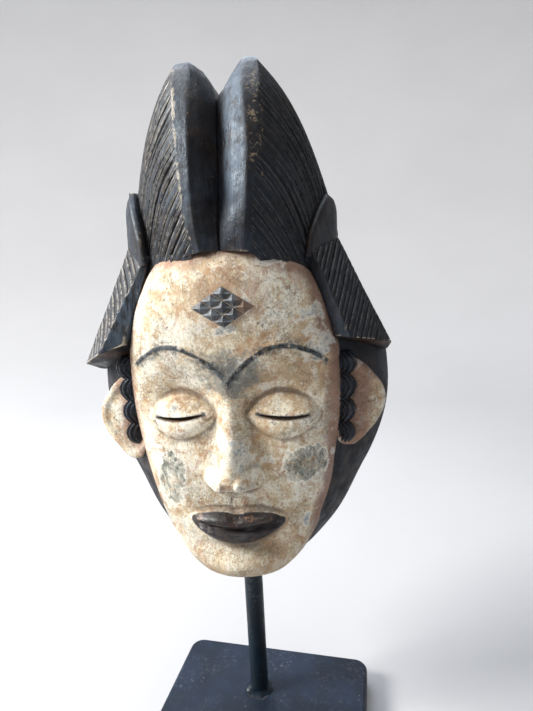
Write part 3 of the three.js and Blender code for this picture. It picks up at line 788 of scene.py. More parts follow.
@dataclass(frozen=True)
class BareWoodFinish:
    """Unpainted wood inside the mask, with gouge marks and grain."""

    name: str = "bare_wood"

    def make(self) -> bpy.types.Material:
        """Build the material."""
        s = Sheet(self.name)
        p = PIGMENTS
        grain = s.noise(1.0, 7, 0.6, 0.8, s.stretched((300, 300, 16), 4.0))
        colour = s.blend(s.span(grain, 0.35, 0.65), p.umber, p.wood)
        colour = s.blend(s.span(s.noise(25, 5, shift=2.0), 0.4, 0.65, 0, 0.6), colour, p.dull_wood)
        gouge = s.cells(95, "SMOOTH_F1", 1.0, s.stretched((1, 1, 0.3), 1.0))
        dusty = s.times(s.span(s.sum(gouge, s.jitter(220, 0.5, 3.0)), 0.35, 0.7), 0.3)
        colour = s.blend(dusty, colour, p.pale_wood)
        level = s.sum(s.times(gouge, 2.2), s.times(grain, 0.35))
        return s.finish(colour, s.span(grain, 0.3, 0.7, 0.62, 0.8), level, 0.9, 0.7)


@dataclass(frozen=True)
class ScarFinish:
    """Slate-grey pigment on the diamond's small pyramids, rubbed pale along their edges."""

    name: str = "slate_scars"

    def make(self) -> bpy.types.Material:
        """Build the material."""
        s = Sheet(self.name)
        p = PIGMENTS
        chips = s.noise(420, 8, 0.72, shift=5.5)
        colour = s.blend(s.span(s.noise(150, 6, 0.66), 0.42, 0.6), p.scar_dark, p.scar_pale)
        ridge = s.sum(s.field("convex"), s.about_zero(chips, 1.6))
        colour = s.blend(s.span(ridge, 0.34, 0.66, 0, 0.7), colour, p.scar_edge)
        corner = s.span(s.sum(s.spot((15, 158), (8, 9)), s.jitter(150, 2.0)), 0.0, 0.6, 0, 0.8)
        colour = s.blend(corner, colour, p.scar_stain)
        groove = s.sum(s.field("hollow"), s.about_zero(chips, 0.9))
        colour = s.blend(s.span(groove, 0.14, 0.36, 0, 0.85), colour, p.scar_clay)
        level = s.sum(s.times(chips, 0.6), s.times(s.noise(160, 5), 0.6))
        return s.finish(colour, s.span(chips, 0.35, 0.65, 0.42, 0.66), level, 0.4, 0.7)


@dataclass(frozen=True)
class StandPaint:
    """Blue-black satin paint with scuffs, brush streaks and dust."""

    name: str = "stand_paint"
    colour: Colour = (0.012, 0.016, 0.024)
    dust: float = 0.5
    shine: float = 0.38

    def make(self) -> bpy.types.Material:
        """Build the material."""
        s = Sheet(self.name)
        p = PIGMENTS
        cloud = s.noise(22, 7, 0.62, 0.4)
        colour = s.blend(s.span(cloud, 0.4, 0.66), self.colour, tuple(1.9 * c for c in self.colour))
        fine = s.noise(420, 8, 0.72, shift=4.0)
        veil = s.times(s.span(fine, 0.5, 0.72), s.span(s.noise(35, 6, shift=7.0), 0.42, 0.66), self.dust)
        colour = s.blend(veil, colour, p.stand_veil)
        speck = s.times(s.span(s.cells(190, "F1", 2.0), 0.05, 0.1, 1, 0),
                        s.span(s.noise(60, 3, shift=5.0), 0.5, 0.6))
        colour = s.blend(s.times(speck, self.dust), colour, p.stand_speck)
        rim = s.sum(s.field("convex"), s.about_zero(fine, 0.8))
        colour = s.blend(s.span(rim, 0.3, 0.6, 0, 0.5), colour, p.stand_edge)
        gloss = s.span(s.noise(70, 6, 0.6, shift=3.0), 0.3, 0.7, self.shine, self.shine + 0.2)
        level = s.sum(s.noise(55, 4), s.times(fine, 0.3))
        return s.finish(colour, gloss, level, 0.25, 0.5, Specular_IOR_Level=0.32)


@dataclass(frozen=True)
class LobeCut:
    """How one crest lobe is cut: curves of its ridge, its cleft side and the middle of its front strip.

    Narrower is taken off its reach to the side. The fade gives the shares of the way outwards between which
    the comb's cuts grow to their full depth, and soften the rounds that dull the strip's edges.
    """

    ridge: Curve
    inner: Curve
    strip: Curve
    narrower: float
    fade: tuple[float, float]
    soften: int


@dataclass
class MaskForm:
    """The mask's carved forms. Millimetres from the chin on the rod's axis; the mask looks along -Y.

    The forms are drawn 281 high, and their heights are stretched to the real height when the mask is
    placed.
    """

    height: float = 288.0
    drawn: float = 281.0
    wall: float = 11.0
    slit_height: float = 2.2
    groove_depth: float = 1.2
    scar_height: float = 2.4
    socket_depth: float = 22.0
    face_top: float = 200.0
    face_side: float = -20.0
    mouth_line: float = 40.0
    bowl_middle: float = 100.0
    bowl_front: float = -26.0
    bowl_widest: float = 8.0
    bowl_rim: float = 22.0
    lobe_foot: float = 185.0
    lobe_top: float = 281.0
    lobe_locks: int = 20
    lock_span: float = 35.0
    tress_locks: int = 11
    scar_cells: int = 3
    scar_half: tuple[float, float] = (16.5, 10.2)
    scar_middle: tuple[float, float] = (1.0, 158.0)
    face_half: Curve = field(default_factory=lambda: curve([
        (0, 13), (3, 21), (8, 28), (18, 37), (34, 45.5), (58, 53), (84, 58), (110, 60.5),
        (132, 59.5), (152, 55.5), (170, 47.5), (184, 37), (194, 25), (200, 14)]))
    face_front: Curve = field(default_factory=lambda: curve([
        (0, -28), (3, -34), (8, -39), (15, -41), (28, -39), (44, -39.5), (62, -41), (84, -41),
        (104, -40), (120, -42), (138, -46), (156, -48.5), (172, -48), (182, -45.5), (187, -40),
        (192, -31), (200, -18)]))
    nose_rise: Curve = field(default_factory=lambda: curve([
        (60, 0), (61.5, 1), (64, 13.5), (68, 15.5), (74, 14), (88, 9.5), (102, 6), (114, 3.2),
        (124, 0)]))
    nose_half: Curve = field(default_factory=lambda: curve([
        (60, 11), (70, 9.4), (84, 7.6), (104, 6.2), (124, 8)]))
    rim_reach: Curve = field(default_factory=lambda: curve([
        (-90, 113), (-72, 103), (-55, 93.5), (-29, 84), (5, 88.5), (20, 91.5), (37, 96), (54, 102),
        (72, 116), (90, 120)]))
    front_reach: Curve = field(default_factory=lambda: curve([
        (-90, 94), (-75, 91), (-57, 79), (-34, 63), (0, 57), (26, 62), (50, 78), (73, 104), (90, 110)]))
    lobe_front: Curve = field(default_factory=lambda: curve([
        (185, -47.5), (200, -49), (215, -48.5), (235, -45), (255, -39), (268, -32), (276, -25),
        (281, -13)]))
    lobe_side: Curve = field(default_factory=lambda: curve([
        (185, 54.1), (200, 57.6), (215, 59.6), (232, 61.1), (250, 61.3), (265, 60.5), (275, 59.1),
        (281, 56.1)]))
    lobe_right: LobeCut = field(default_factory=lambda: LobeCut(
        ridge=curve([(185, 16), (200, 18), (215, 19.6), (232, 22), (250, 22.4), (268, 22.8),
                     (274.5, 21.6), (278.5, 19), (280.2, 17), (281, 15.6)]),
        inner=curve([(185, -1), (256, -1), (261, 0), (264, 2.2), (272, 6.2), (276.5, 8.6), (279.3, 11.2),
                     (281, 13.6)]),
        strip=curve([(185, 13.2), (200, 15.2), (215, 16.6), (232, 17.2), (250, 16.4), (270, 15.2),
                     (281, 14.6)]),
        narrower=0.0, fade=(0.06, 0.60), soften=6))
    lobe_left: LobeCut = field(default_factory=lambda: LobeCut(
        ridge=curve([(185, 11.5), (200, 14.6), (215, 16.2), (232, 17.4), (250, 18.9), (265, 20),
                     (275, 20.8), (281, 20.6)]),
        inner=curve([(185, -1), (256, -1), (262, 0.6), (269, 3.8), (275, 7.8), (279, 10.8), (281, 13.2)]),
        strip=curve([(185, 9), (200, 10.2), (215, 10.6), (250, 11.2), (270, 11.8), (281, 15.6)]),
        narrower=2.2, fade=(0.0, 0.16), soften=3))
    lobe_back: Curve = field(default_factory=lambda: curve([
        (185, 16), (222, 16), (250, 13), (270, 7), (281, 0)]))

    def brow_line(self, x: Array) -> Array:
        """Give the height of the brows' middle line: one sine arch on each side of the nose's root."""
        share = np.minimum(1, np.abs(x) / 52)
        return 119 + 19 * np.sin(share * math.pi * 0.86) ** 0.9

    def slit_line(self, x: Array) -> Array:
        """Give the height of the closed lids' line: a shallow hanging arc on each side."""
        a = np.abs(x)
        return 101 - 0.08 * (a - 28) - 1.6 * (1 - ((a - 28) / 13.5) ** 2)

    def hairline(self, x: Array) -> Array:
        """Give the height of the hair's edge over the forehead: a flat arch."""
        return self.lobe_foot - 11.5 * np.minimum(1.6, (np.abs(x) / 42) ** 2)

    def relief(self, x: Array, z: Array) -> Array:
        """Say how far the carving of the face stands out from its plain egg form.

        Eye sockets are taken off under the brow line; lids, cheeks, nose, nostrils, lips, chin and the
        brows' fine ridge are added, each a dome or a soft hill in x and z.

        Args:
            x: places across, on a grid.
            z: heights, on the same grid.

        Returns:
            Millimetres outwards, on the same grid.
        """
        a = np.abs(x)
        brow = self.brow_line(x)
        out = -4.5 * bump(a, z, (27, 109), (18, 14)) * step(-4, 3, brow - z)
        out += self.lids(a, z)
        out += 2.6 * bump(a, z, (35, 70), (17, 20))
        out += self.nose_rise(z) * np.exp(-((a / self.nose_half(z)) ** 2.6))
        out += 5.4 * dome(((a - 9.6) / 6.8) ** 2 + ((z - 67.2) / 6.2) ** 2, 0.6)
        out -= 1.3 * bump(x, z, (0, 56), (3, 5))
        out += self.lips(x, z)
        out += 3.5 * bump(x, z, (0, 13), (17, 9)) - 1.4 * bump(x, z, (0, 26), (17, 3.5))
        out += 1.3 * np.exp(-(((z - brow) / 2.0) ** 2)) * step(56, 48, a)
        return out

    def lids(self, a: Array, z: Array) -> Array:
        """Say how far the closed lids stand out: an almond dome with a crease above it.

        At u across the almond its half height is 11.5 (1 - u^2)^0.8. At v of that half height the dome
        stands 6.2 (1 - u^2)^0.5 (1 - v^2)^0.55 out.

        Args:
            a: distances from the middle, on a grid.
            z: heights, on the same grid.

        Returns:
            Millimetres outwards.
        """
        u = np.clip((a - 28) / 19.5, -1, 1)
        flat = np.clip(1 - u * u, 1e-6, 1)
        half = 11.5 * flat**0.8
        v = (z - 100 + 0.06 * (a - 28)) / half
        crease = 1.0 * np.exp(-((((v - 1) * half - 2.4) / 1.7) ** 2)) * flat
        return 6.2 * flat**0.5 * dome(v * v, 0.55) - crease

    def lips(self, x: Array, z: Array) -> Array:
        """Say how far the lips stand out.

        With q from the seam to a lip's edge, a lip is (6.4 + swell sin(pi q^0.8)) (1 - q^5)^0.6 high, where
        the swell is 3.0 on the upper lip and 3.6 on the lower. It tapers to the corners by
        (1 - (x/28)^2)^0.55, and the seam is a narrow groove.

        Args:
            x: places across, on a grid.
            z: heights, on the same grid.

        Returns:
            Millimetres outwards.
        """
        seam, top, bottom = self.lip_lines(x)
        q = np.where(z >= seam, (z - seam) / (top - seam), (seam - z) / (seam - bottom))
        q = np.clip(q, 0, 1)
        swell = np.where(z >= seam, 3.0, 3.6) * np.sin(math.pi * q**0.8)
        taper = np.clip(1 - (x / 28) ** 2, 0, 1) ** 0.55
        groove = 1.8 * np.exp(-(((z - seam) / 1.1) ** 2))
        return taper * ((6.4 + swell) * np.clip(1 - q**5, 0, 1) ** 0.6 - groove)

    def lip_lines(self, x: Array) -> tuple[Array, Array, Array]:
        """Give the heights of the lips' seam, upper edge and lower edge: flat arcs, the upper one bowed."""
        seam = self.mouth_line - 1.2 * np.cos(np.clip(x / 27, -1, 1) * math.pi)
        bow = 1 - 0.16 * np.exp(-((x / 4.5) ** 2))
        top = seam + 0.6 + 8.6 * np.clip(1 - (x / 28) ** 2, 0, 1) ** 0.75 * bow
        bottom = seam - 0.6 - 10.2 * np.clip(1 - (x / 27) ** 2, 0, 1) ** 0.7
        return seam, top, bottom

    def skin(self, x: Array, z: Array) -> Array:
        """Give the depth of the face's plain form at a place: an ellipse arc from side to front."""
        turn = np.arcsin(np.clip(np.abs(x) / self.face_half(z), 0, 1))
        return mix(self.face_side, self.face_front(z), np.cos(turn) ** 0.9)

    def face_rings(self, z: Array, inset: float, back: float, columns: int) -> Array:
        """Give the face's level rows: across the front by angle, then round the back.

        At the angle u, x is the half width times sin u, and the depth goes from the side to the front by
        cos(u)^0.9, less the carved relief.

        Args:
            z: the rows' heights.
            inset: how far inside the outer skin.
            back: depth of the flat back.
            columns: steps across the front.

        Returns:
            Rings, (rows, columns + 3, 3).
        """
        s = np.linspace(-1, 1, columns + 1)
        turn = (math.pi / 2) * (0.62 * s + 0.38 * s**3)
        half = (self.face_half(z) - inset)[:, None]
        x = half * np.sin(turn)
        rise = np.broadcast_to(np.cos(turn).clip(0) ** 0.9, x.shape)
        level = np.broadcast_to(z[:, None], x.shape)
        front = (self.face_front(z) + inset)[:, None]
        y = mix(self.face_side + 0.4 * inset, front, rise)
        if not inset:
            y = y - soften_grid(self.relief(x, level), 1) * np.minimum(1, rise * 1.8)
        rows = np.stack([x, y, level], axis=2)
        behind = np.full_like(half[:, 0], back)
        ends = [np.stack([sign * (half[:, 0] - 1), behind, z], 1)[:, None] for sign in (1, -1)]
        return np.concatenate([rows, *ends], axis=1)

    def face(self) -> Shell:
        """Give the face and forehead as one closed egg with a flat back."""
        return loft(self.face_rings(np.linspace(0, self.face_top, 172), 0, 2, 140))

    def face_hollow(self) -> Shell:
        """Give the hollow behind the face: the same egg, a wall smaller."""
        return loft(self.face_rings(np.linspace(self.wall + 3, 186, 60), self.wall, 3, 60))

    def bowl_reach(self, angle: Array, y: float) -> Array:
        """Give the bowl's radius at a depth: a quarter sine from the front outline to the widest one."""
        t = float(np.clip((y - self.bowl_front) / (self.bowl_widest - self.bowl_front), 0, 1))
        over = max(0.0, (y - self.bowl_widest) / (self.bowl_rim - self.bowl_widest))
        flare = math.sin(t * math.pi / 2)
        return mix(self.front_reach(angle), self.rim_reach(angle), flare) * (1 - 0.03 * over**2)

    def bowl_rings(self, depths: Array, lag: float, inset: float, count: int) -> Array:
        """Give upright outlines of the bowl, one at each depth.

        Args:
            depths: where each outline lies.
            lag: how much nearer the front its shape is taken.
            inset: taken off its radius.
            count: points round it.

        Returns:
            Rings, (depths, count, 3).
        """
        turn = np.arange(count) * 360 / count - 90
        angle = np.where(turn > 90, 180 - turn, turn)
        rings = []
        for y in depths:
            r = self.bowl_reach(angle, y - lag) - inset
            x, z = r * np.cos(np.radians(turn)), self.bowl_middle + r * np.sin(np.radians(turn))
            rings.append(np.stack([x, np.full(count, y), z], 1))
        return np.stack(rings)

    def bowl(self) -> Shell:
        """Give the dark bowl behind the face as a solid dish."""
        depths = np.linspace(self.bowl_front, self.bowl_rim - 1.2, 40)
        rings = self.bowl_rings(depths, 0, 0, 150)
        ends = [self.bowl_rings(np.array([y]), 0, cut, 150) for y, cut in
                ((self.bowl_rim - 0.5, 0.4), (self.bowl_rim, 1.2))]
        return loft(np.concatenate([rings, *ends]))

    def bowl_hollow(self) -> Shell:
        """Give the bowl's open inside, a wall smaller and 5 mm behind."""
        depths = np.linspace(self.bowl_front + 9, self.bowl_rim + 1, 30)
        return loft(self.bowl_rings(depths, 5, self.wall, 120))

    def lock_fall(self, t: Array) -> Array:
        """Say how far a lock has fallen after the share t of its way out: 1.1 times the way plus 39.5 t^3."""
        return 1.1 * self.lock_span * t + 39.5 * t**3

    def lobe(self, cut: LobeCut) -> Shell:
        """Give a crest lobe on the right-hand side.

        A level ring runs from the cleft to the front strip and the ridge, out over the combed face to the
        side, and round the back. A lock that is at the height z on the combed face, at the share t of the
        way out, left the ridge at the level z + fall(t), and a cut between two locks is a line of one level.

        Args:
            cut: how this lobe is cut.

        Returns:
            The closed lobe.
        """
        rings, locks = [], []
        shares = np.linspace(0, 1, 400)
        heights = [np.linspace(168, 184.4, 18), np.linspace(185, 270, 108), np.linspace(270.6, 280.9, 22)]
        for z in np.concatenate(heights):
            first = max(0.0, self.lobe_foot - z)
            most = np.interp(self.lobe_top - z, self.lock_fall(shares), shares)
            falls = np.linspace(first, self.lock_fall(np.array(most)), 96)
            t = np.interp(falls, self.lock_fall(shares), shares)
            level = z + falls
            x = mix(cut.ridge(level), self.lobe_side(level) - cut.narrower, t * mix(1, 1.06, t) / 1.06)
            y = mix(self.lobe_front(level) + 1.5, -5, mix(t, t * t, 0.6))
            count = (level - self.lobe_foot) / (self.lobe_top - self.lobe_foot) * self.lobe_locks
            count = count + 0.16 * np.sin(2.3 * count + 1.1) + 0.1 * np.sin(5.1 * count)
            depth = self.lock_cut(count, t, cut.fade) * step(0, 3, self.lobe_top - level + 0.5)
            away = depth / math.hypot(1, 0.8)
            comb = np.stack([x - away, y + 0.8 * away, np.full_like(x, z)], 1)
            inside = self.lobe_inside(z, cut) if z >= self.lobe_foot else self.lobe_within(z, comb[0])
            behind = self.lobe_behind(z, comb[-1], cut)
            rings.append(np.concatenate([inside, comb, behind]))
            lock = np.concatenate([np.full(len(inside), count[0]), count, np.full(len(behind), count[-1])])
            share = np.concatenate([np.linspace(-1, -0.02, len(inside)), t, np.full(len(behind), -1.0)])
            locks.append(np.column_stack([lock, share]))
        stack = np.stack(rings)
        x, y, z = (stack[..., k] for k in range(3))
        sink = (self.hairline(x) - self.lobe_foot) * (1 - step(self.lobe_foot, 225, z))
        stack[..., 2] += np.where((y < -12) & (z >= self.lobe_foot), sink, 0)
        return loft(stack, np.stack(locks))

    def lock_cut(self, count: Array, share: Array, fade: tuple[float, float]) -> Array:
        """Say how deep the comb is cut: a narrow valley between two locks, each a low round crown."""
        off = np.abs((count + 0.25) % 1 - 0.5) * 2
        return self.groove_depth * (np.exp(-((off / 0.26) ** 2)) - 0.24 * off**2) * step(*fade, share)

    def lobe_within(self, z: float, start: Array) -> Array:
        """Give one ring's part below the hair's edge, inside the head: from the middle to the comb."""
        x, y = start[:2]
        corners = np.array([(-1, 16), (-1, -18), (x - 8, y + 12), (x - 1, y + 5)])
        t = np.linspace(0, 3, 40)
        flat = np.stack([np.interp(t, np.arange(4), corners[:, k]) for k in range(2)], 1)
        return np.column_stack([flat, np.full(len(flat), z)])

    def lobe_inside(self, z: float, cut: LobeCut) -> Array:
        """Give one ring's part from the back of the cleft to the ridge, with rounded corners."""
        level = max(z, self.lobe_foot)
        front, inner, strip, back, ridge = (float(c(np.array(level))) for c in (
            self.lobe_front, cut.inner, cut.strip, self.lobe_back, cut.ridge))
        cleft = 5 + 9 * float(step(self.lobe_foot, self.lobe_foot + 30, np.array(level)))
        corners = [(inner, back), (inner, front + cleft), (mix(inner, strip, 0.6), front + 0.26 * cleft),
                   (strip, front), (ridge, front + 1.5)]
        counts = (6, 14, 8, 12)  # 40 points without the ridge itself
        path = [np.array(corners[0])[None]]
        for (start, end), count in zip(zip(corners, corners[1:]), counts):
            t = (np.arange(1, count + 1) / count)[:, None]
            path.append(mix(np.array(start), np.array(end), t))
        flat = np.concatenate(path)
        for _ in range(cut.soften):
            flat[1:-1] = (flat[:-2] + 2 * flat[1:-1] + flat[2:]) / 4
        return np.column_stack([flat, np.full(len(flat), z)])[:-1]

    def lobe_behind(self, z: float, side: Array, cut: LobeCut) -> Array:
        """Give one ring's part from the side to the cleft: a quarter round, then nearly flat."""
        level = np.array(max(z, self.lobe_foot))
        back, inner = float(self.lobe_back(level)), float(cut.inner(level))
        t = np.linspace(0, 1, 22)[1:-1]
        x = mix(side[0] - 0.5, inner, t**1.4)
        y = mix(side[1] + 1, back, np.sin(np.minimum(1, t * 1.6) * math.pi / 2))
        return np.column_stack([x, y, np.full(len(t), z)])

    def tress(self, right: bool) -> Shell:
        """Give a side tress: a slab that leans outwards, plain in front and combed on its outer face.

        Its rings go from a top outline to a foot outline. With s the share of the way down and t the share
        of the way from the ridge to the outer edge, a cut between two locks is a line of one s + slant t,
        where the slant grows down the tress and is larger on the right one.

        Args:
            right: whether it is the tress on the side of +X; the other is given there too, to be mirrored.

        Returns:
            The closed tress.
        """
        if right:
            top = [(41, -26, 184), (46, -31, 183.5), (60.4, -13, 189.5), (57, 2, 190), (42, 2, 186)]
            foot = [(57, -31, 140), (65, -35, 139.5), (88, -13, 133.5), (86, -2, 127), (59, -2, 131)]
        else:
            top = [(41, -28, 184), (43.5, -28, 186), (58, -14, 191.5), (56, 2, 191), (42, 2, 186)]
            foot = [(57, -33, 139), (73, -35, 134), (89.5, -18, 126), (87, -2, 119.5), (59, -2, 121.5)]
        top, foot = np.array(top, float), np.array(foot, float)
        columns = 44
        s = np.linspace(0, 1, 120)
        slant = mix(0.42, 0.78, s) if right else mix(0.2, 0.44, s)

        def at(corner: int) -> Array:
            """Give a corner's places from the top to the foot."""
            return mix(top[corner], foot[corner], s[:, None])

        def lock_at(t: float) -> Array:
            """Give the lock count down the tress at one share, a little uneven."""
            count = (s + slant * max(t, 0)) * self.tress_locks
            return count + 0.12 * np.sin(2.1 * count + 0.7)

        corners, shares = [at(0), at(1)], [-1.0, 0.0, *np.linspace(0.03, 1, columns), -1.0, -1.0]
        for t in shares[2:-2]:
            edge = min(1.0, 3.5 * (1 - t) + 0.12)
            cut = 1.25 * self.lock_cut(lock_at(t), np.array(t), (-0.05, 0.12))[:, None] * edge
            corners.append(mix(at(1), at(2), t) + cut * np.array([-0.6, 0.8, 0.0]))
        corners += [at(3), at(4)]
        counts = [8, *[1] * columns, 5, 6, 7]
        rings = resample(np.stack(corners, 1), counts, 1)
        spread = np.stack([np.stack([lock_at(t), np.full_like(s, t), 0 * s], 1) for t in shares], 1)
        return loft(rings, resample(spread, counts, 0)[..., :2])

    def leaf(self, top: float) -> Shell:
        """Give a shoulder leaf on the right-hand side: a blade between an outer and an inner edge curve.

        Its ridge runs along the inner edge, and its face falls from there to the outer edge.

        Args:
            top: the height of its tip.

        Returns:
            The closed leaf.
        """
        s = np.linspace(0, 1, 44)
        outer = curve([(0, 57), (0.25, 59.8), (0.7, 59.8), (0.9, 58.4), (1, 55.5)])(s)
        inner = curve([(0, 43), (0.33, 44.5), (0.7, 48.5), (1, 53)])(s)
        front = curve([(0, -31), (0.33, -29.5), (0.7, -22.5), (1, -13)])(s)
        z = mix(180, top, s)
        outline = ((inner - 1, front + 9), (inner - 0.5, front), (inner + 2.6, front - 0.2),
                   (mix(inner, outer, 0.5), mix(front, -14.0, 0.42)), (outer, mix(-14, -9, s)),
                   (outer, 1 + 0 * s), (inner, 3 + 0 * s))
        corners = np.stack([np.stack([x, y, z], 1) for x, y in outline], 1)
        return loft(resample(corners, [5, 4, 5, 6, 6, 6, 6], 2))

    def ear(self, middle: float) -> Shell:
        """Give an ear on the right-hand side: a half-moon plate, dished a little inside its rim.

        Args:
            middle: the height of its middle.

        Returns:
            The closed ear.
        """
        reach = curve([(-90, 25.5), (-60, 19.6), (-28, 18), (6, 18.3), (45, 17.9), (70, 20.5), (90, 24)])
        turn = np.arange(84) * 360 / 84 - 90
        across, up = np.cos(np.radians(turn)), np.sin(np.radians(turn))
        wide = np.where(turn <= 90, reach(turn) * across, -14 * np.abs(across) ** 0.6)
        high = np.where(turn <= 90, reach(turn), reach(np.where(up > 0, 90.0, -90.0))) * up
        v = np.linspace(0, 1, 34)
        scale = curve([(0, 0.8), (0.22, 0.97), (0.4, 1), (0.55, 0.96), (0.66, 0.86), (0.8, 0.66),
                       (1, 0.3)])(v)
        depth = curve([(0, -6), (0.22, -14), (0.4, -19.5), (0.55, -22.8), (0.66, -23.2), (0.8, -21.8),
                       (1, -21.6)])(v)
        x = 66 + scale[:, None] * wide
        z = middle + scale[:, None] * high
        y = depth[:, None] + 0.3 * (x - 66)
        return loft(np.stack([x, y, z], 2))

    def temple(self) -> Shell:
        """Give the right-hand temple band: a strip whose outer edge swells by |sin| into four curls.

        Grooves follow the outer edge inside the strip: a wave of the distance from that edge.

        Returns:
            The closed band.
        """
        s = np.linspace(0, 1, 150)[:, None]
        w = np.linspace(0, 1, 20)[None, :]
        x, z = mix(60.5, 62.5, s), mix(79, 131, s)
        swell = np.abs(np.sin(s * math.pi * 4)) ** 0.7
        ends = np.clip(np.minimum(s, 1 - s) * 14, 0, 1) ** 0.5
        left, right = x - 4.5, x + 1.6 + 4.6 * swell
        across = mix(left, right, w)
        wave = np.cos((right - across - 0.4) * 2 * math.pi / 2.9) * step(0.02, 0.16, w) * step(1, 0.86, w)
        y = -22.6 - 3.4 * np.clip(4 * w * (1 - w), 0, 1) ** 0.3 * ends - 0.55 * wave * ends
        front = np.stack([across, y, z + 0 * w], 2)
        back = [np.stack([v, -14 + 0 * v, z], 2) for v in (right - 0.5, left + 0.5)]
        return loft(np.concatenate([front, *back], 1))

    def scars(self) -> list[Shell]:
        """Give the forehead's diamond: a grid of small pyramids, each a square with one tip."""
        cells = self.scar_cells
        low, high = 0.03, 0.97
        cell = np.array([(low, low), (high, low), (high, high), (low, high), (0.5, 0.5)])
        shells = []
        for i in range(cells):
            for j in range(cells):
                p, q = 2 * (cell + [i, j]).T / cells - 1
                x = self.scar_middle[0] + (p - q) / 2 * self.scar_half[0]
                z = self.scar_middle[1] + (p + q) / 2 * self.scar_half[1]
                y = self.skin(x, z)
                square, tip = slice(0, 4), slice(4, 5)
                inside = np.stack([x[square], y[square] + 4, z[square]], 1)
                face = np.stack([x[square], y[square] - 0.35, z[square]], 1)
                peak = np.stack([x[tip], y[tip] - self.scar_height, z[tip]], 1).repeat(4, 0)
                stack = [inside, face] + [mix(face, peak, t) for t in (0.3, 0.6, 0.93)]
                shells.append(loft(resample(np.stack(stack), [4, 4, 4, 4], 0)))
        return shells

    def slit(self) -> Shell:
        """Give the cutter for the right-hand lids: a lens outline run from front to back."""
        s = np.linspace(0, 1, 41)
        x = mix(14.5, 41.5, s)
        half = self.slit_height * self.drawn / self.height / 2 * np.sin(math.pi * s) ** 0.6
        upper = np.stack([x, self.slit_line(x) + half], 1)
        lower = np.stack([x, self.slit_line(x) - half], 1)[-2:0:-1]
        outline = np.concatenate([upper, lower])
        depths = np.linspace(-90, -18, 20)
        x, z = outline.T
        return loft(np.stack([np.column_stack([x, np.full(len(x), y), z]) for y in depths]))

    def post(self, radius: float, low: float, high: float) -> Shell:
        """Give an upright round cutter on the rod's axis."""
        turn = np.arange(48) * 2 * math.pi / 48
        ring = np.stack([radius * np.cos(turn), radius * np.sin(turn)], 1)
        return loft(np.stack([np.column_stack([ring, np.full(48, z)]) for z in (low, high)]))

    def notch(self) -> Shell:
        """Give the cutter that lets the rod in from the rim: an upright slab from the axis backwards."""
        half = ROD_RADIUS + CLEARANCE
        ring = np.array([(-half, 0), (half, 0), (half, 60), (-half, 60)])
        return loft(np.stack([np.column_stack([ring, np.full(4, z)]) for z in (-30.0, 12.0)]))


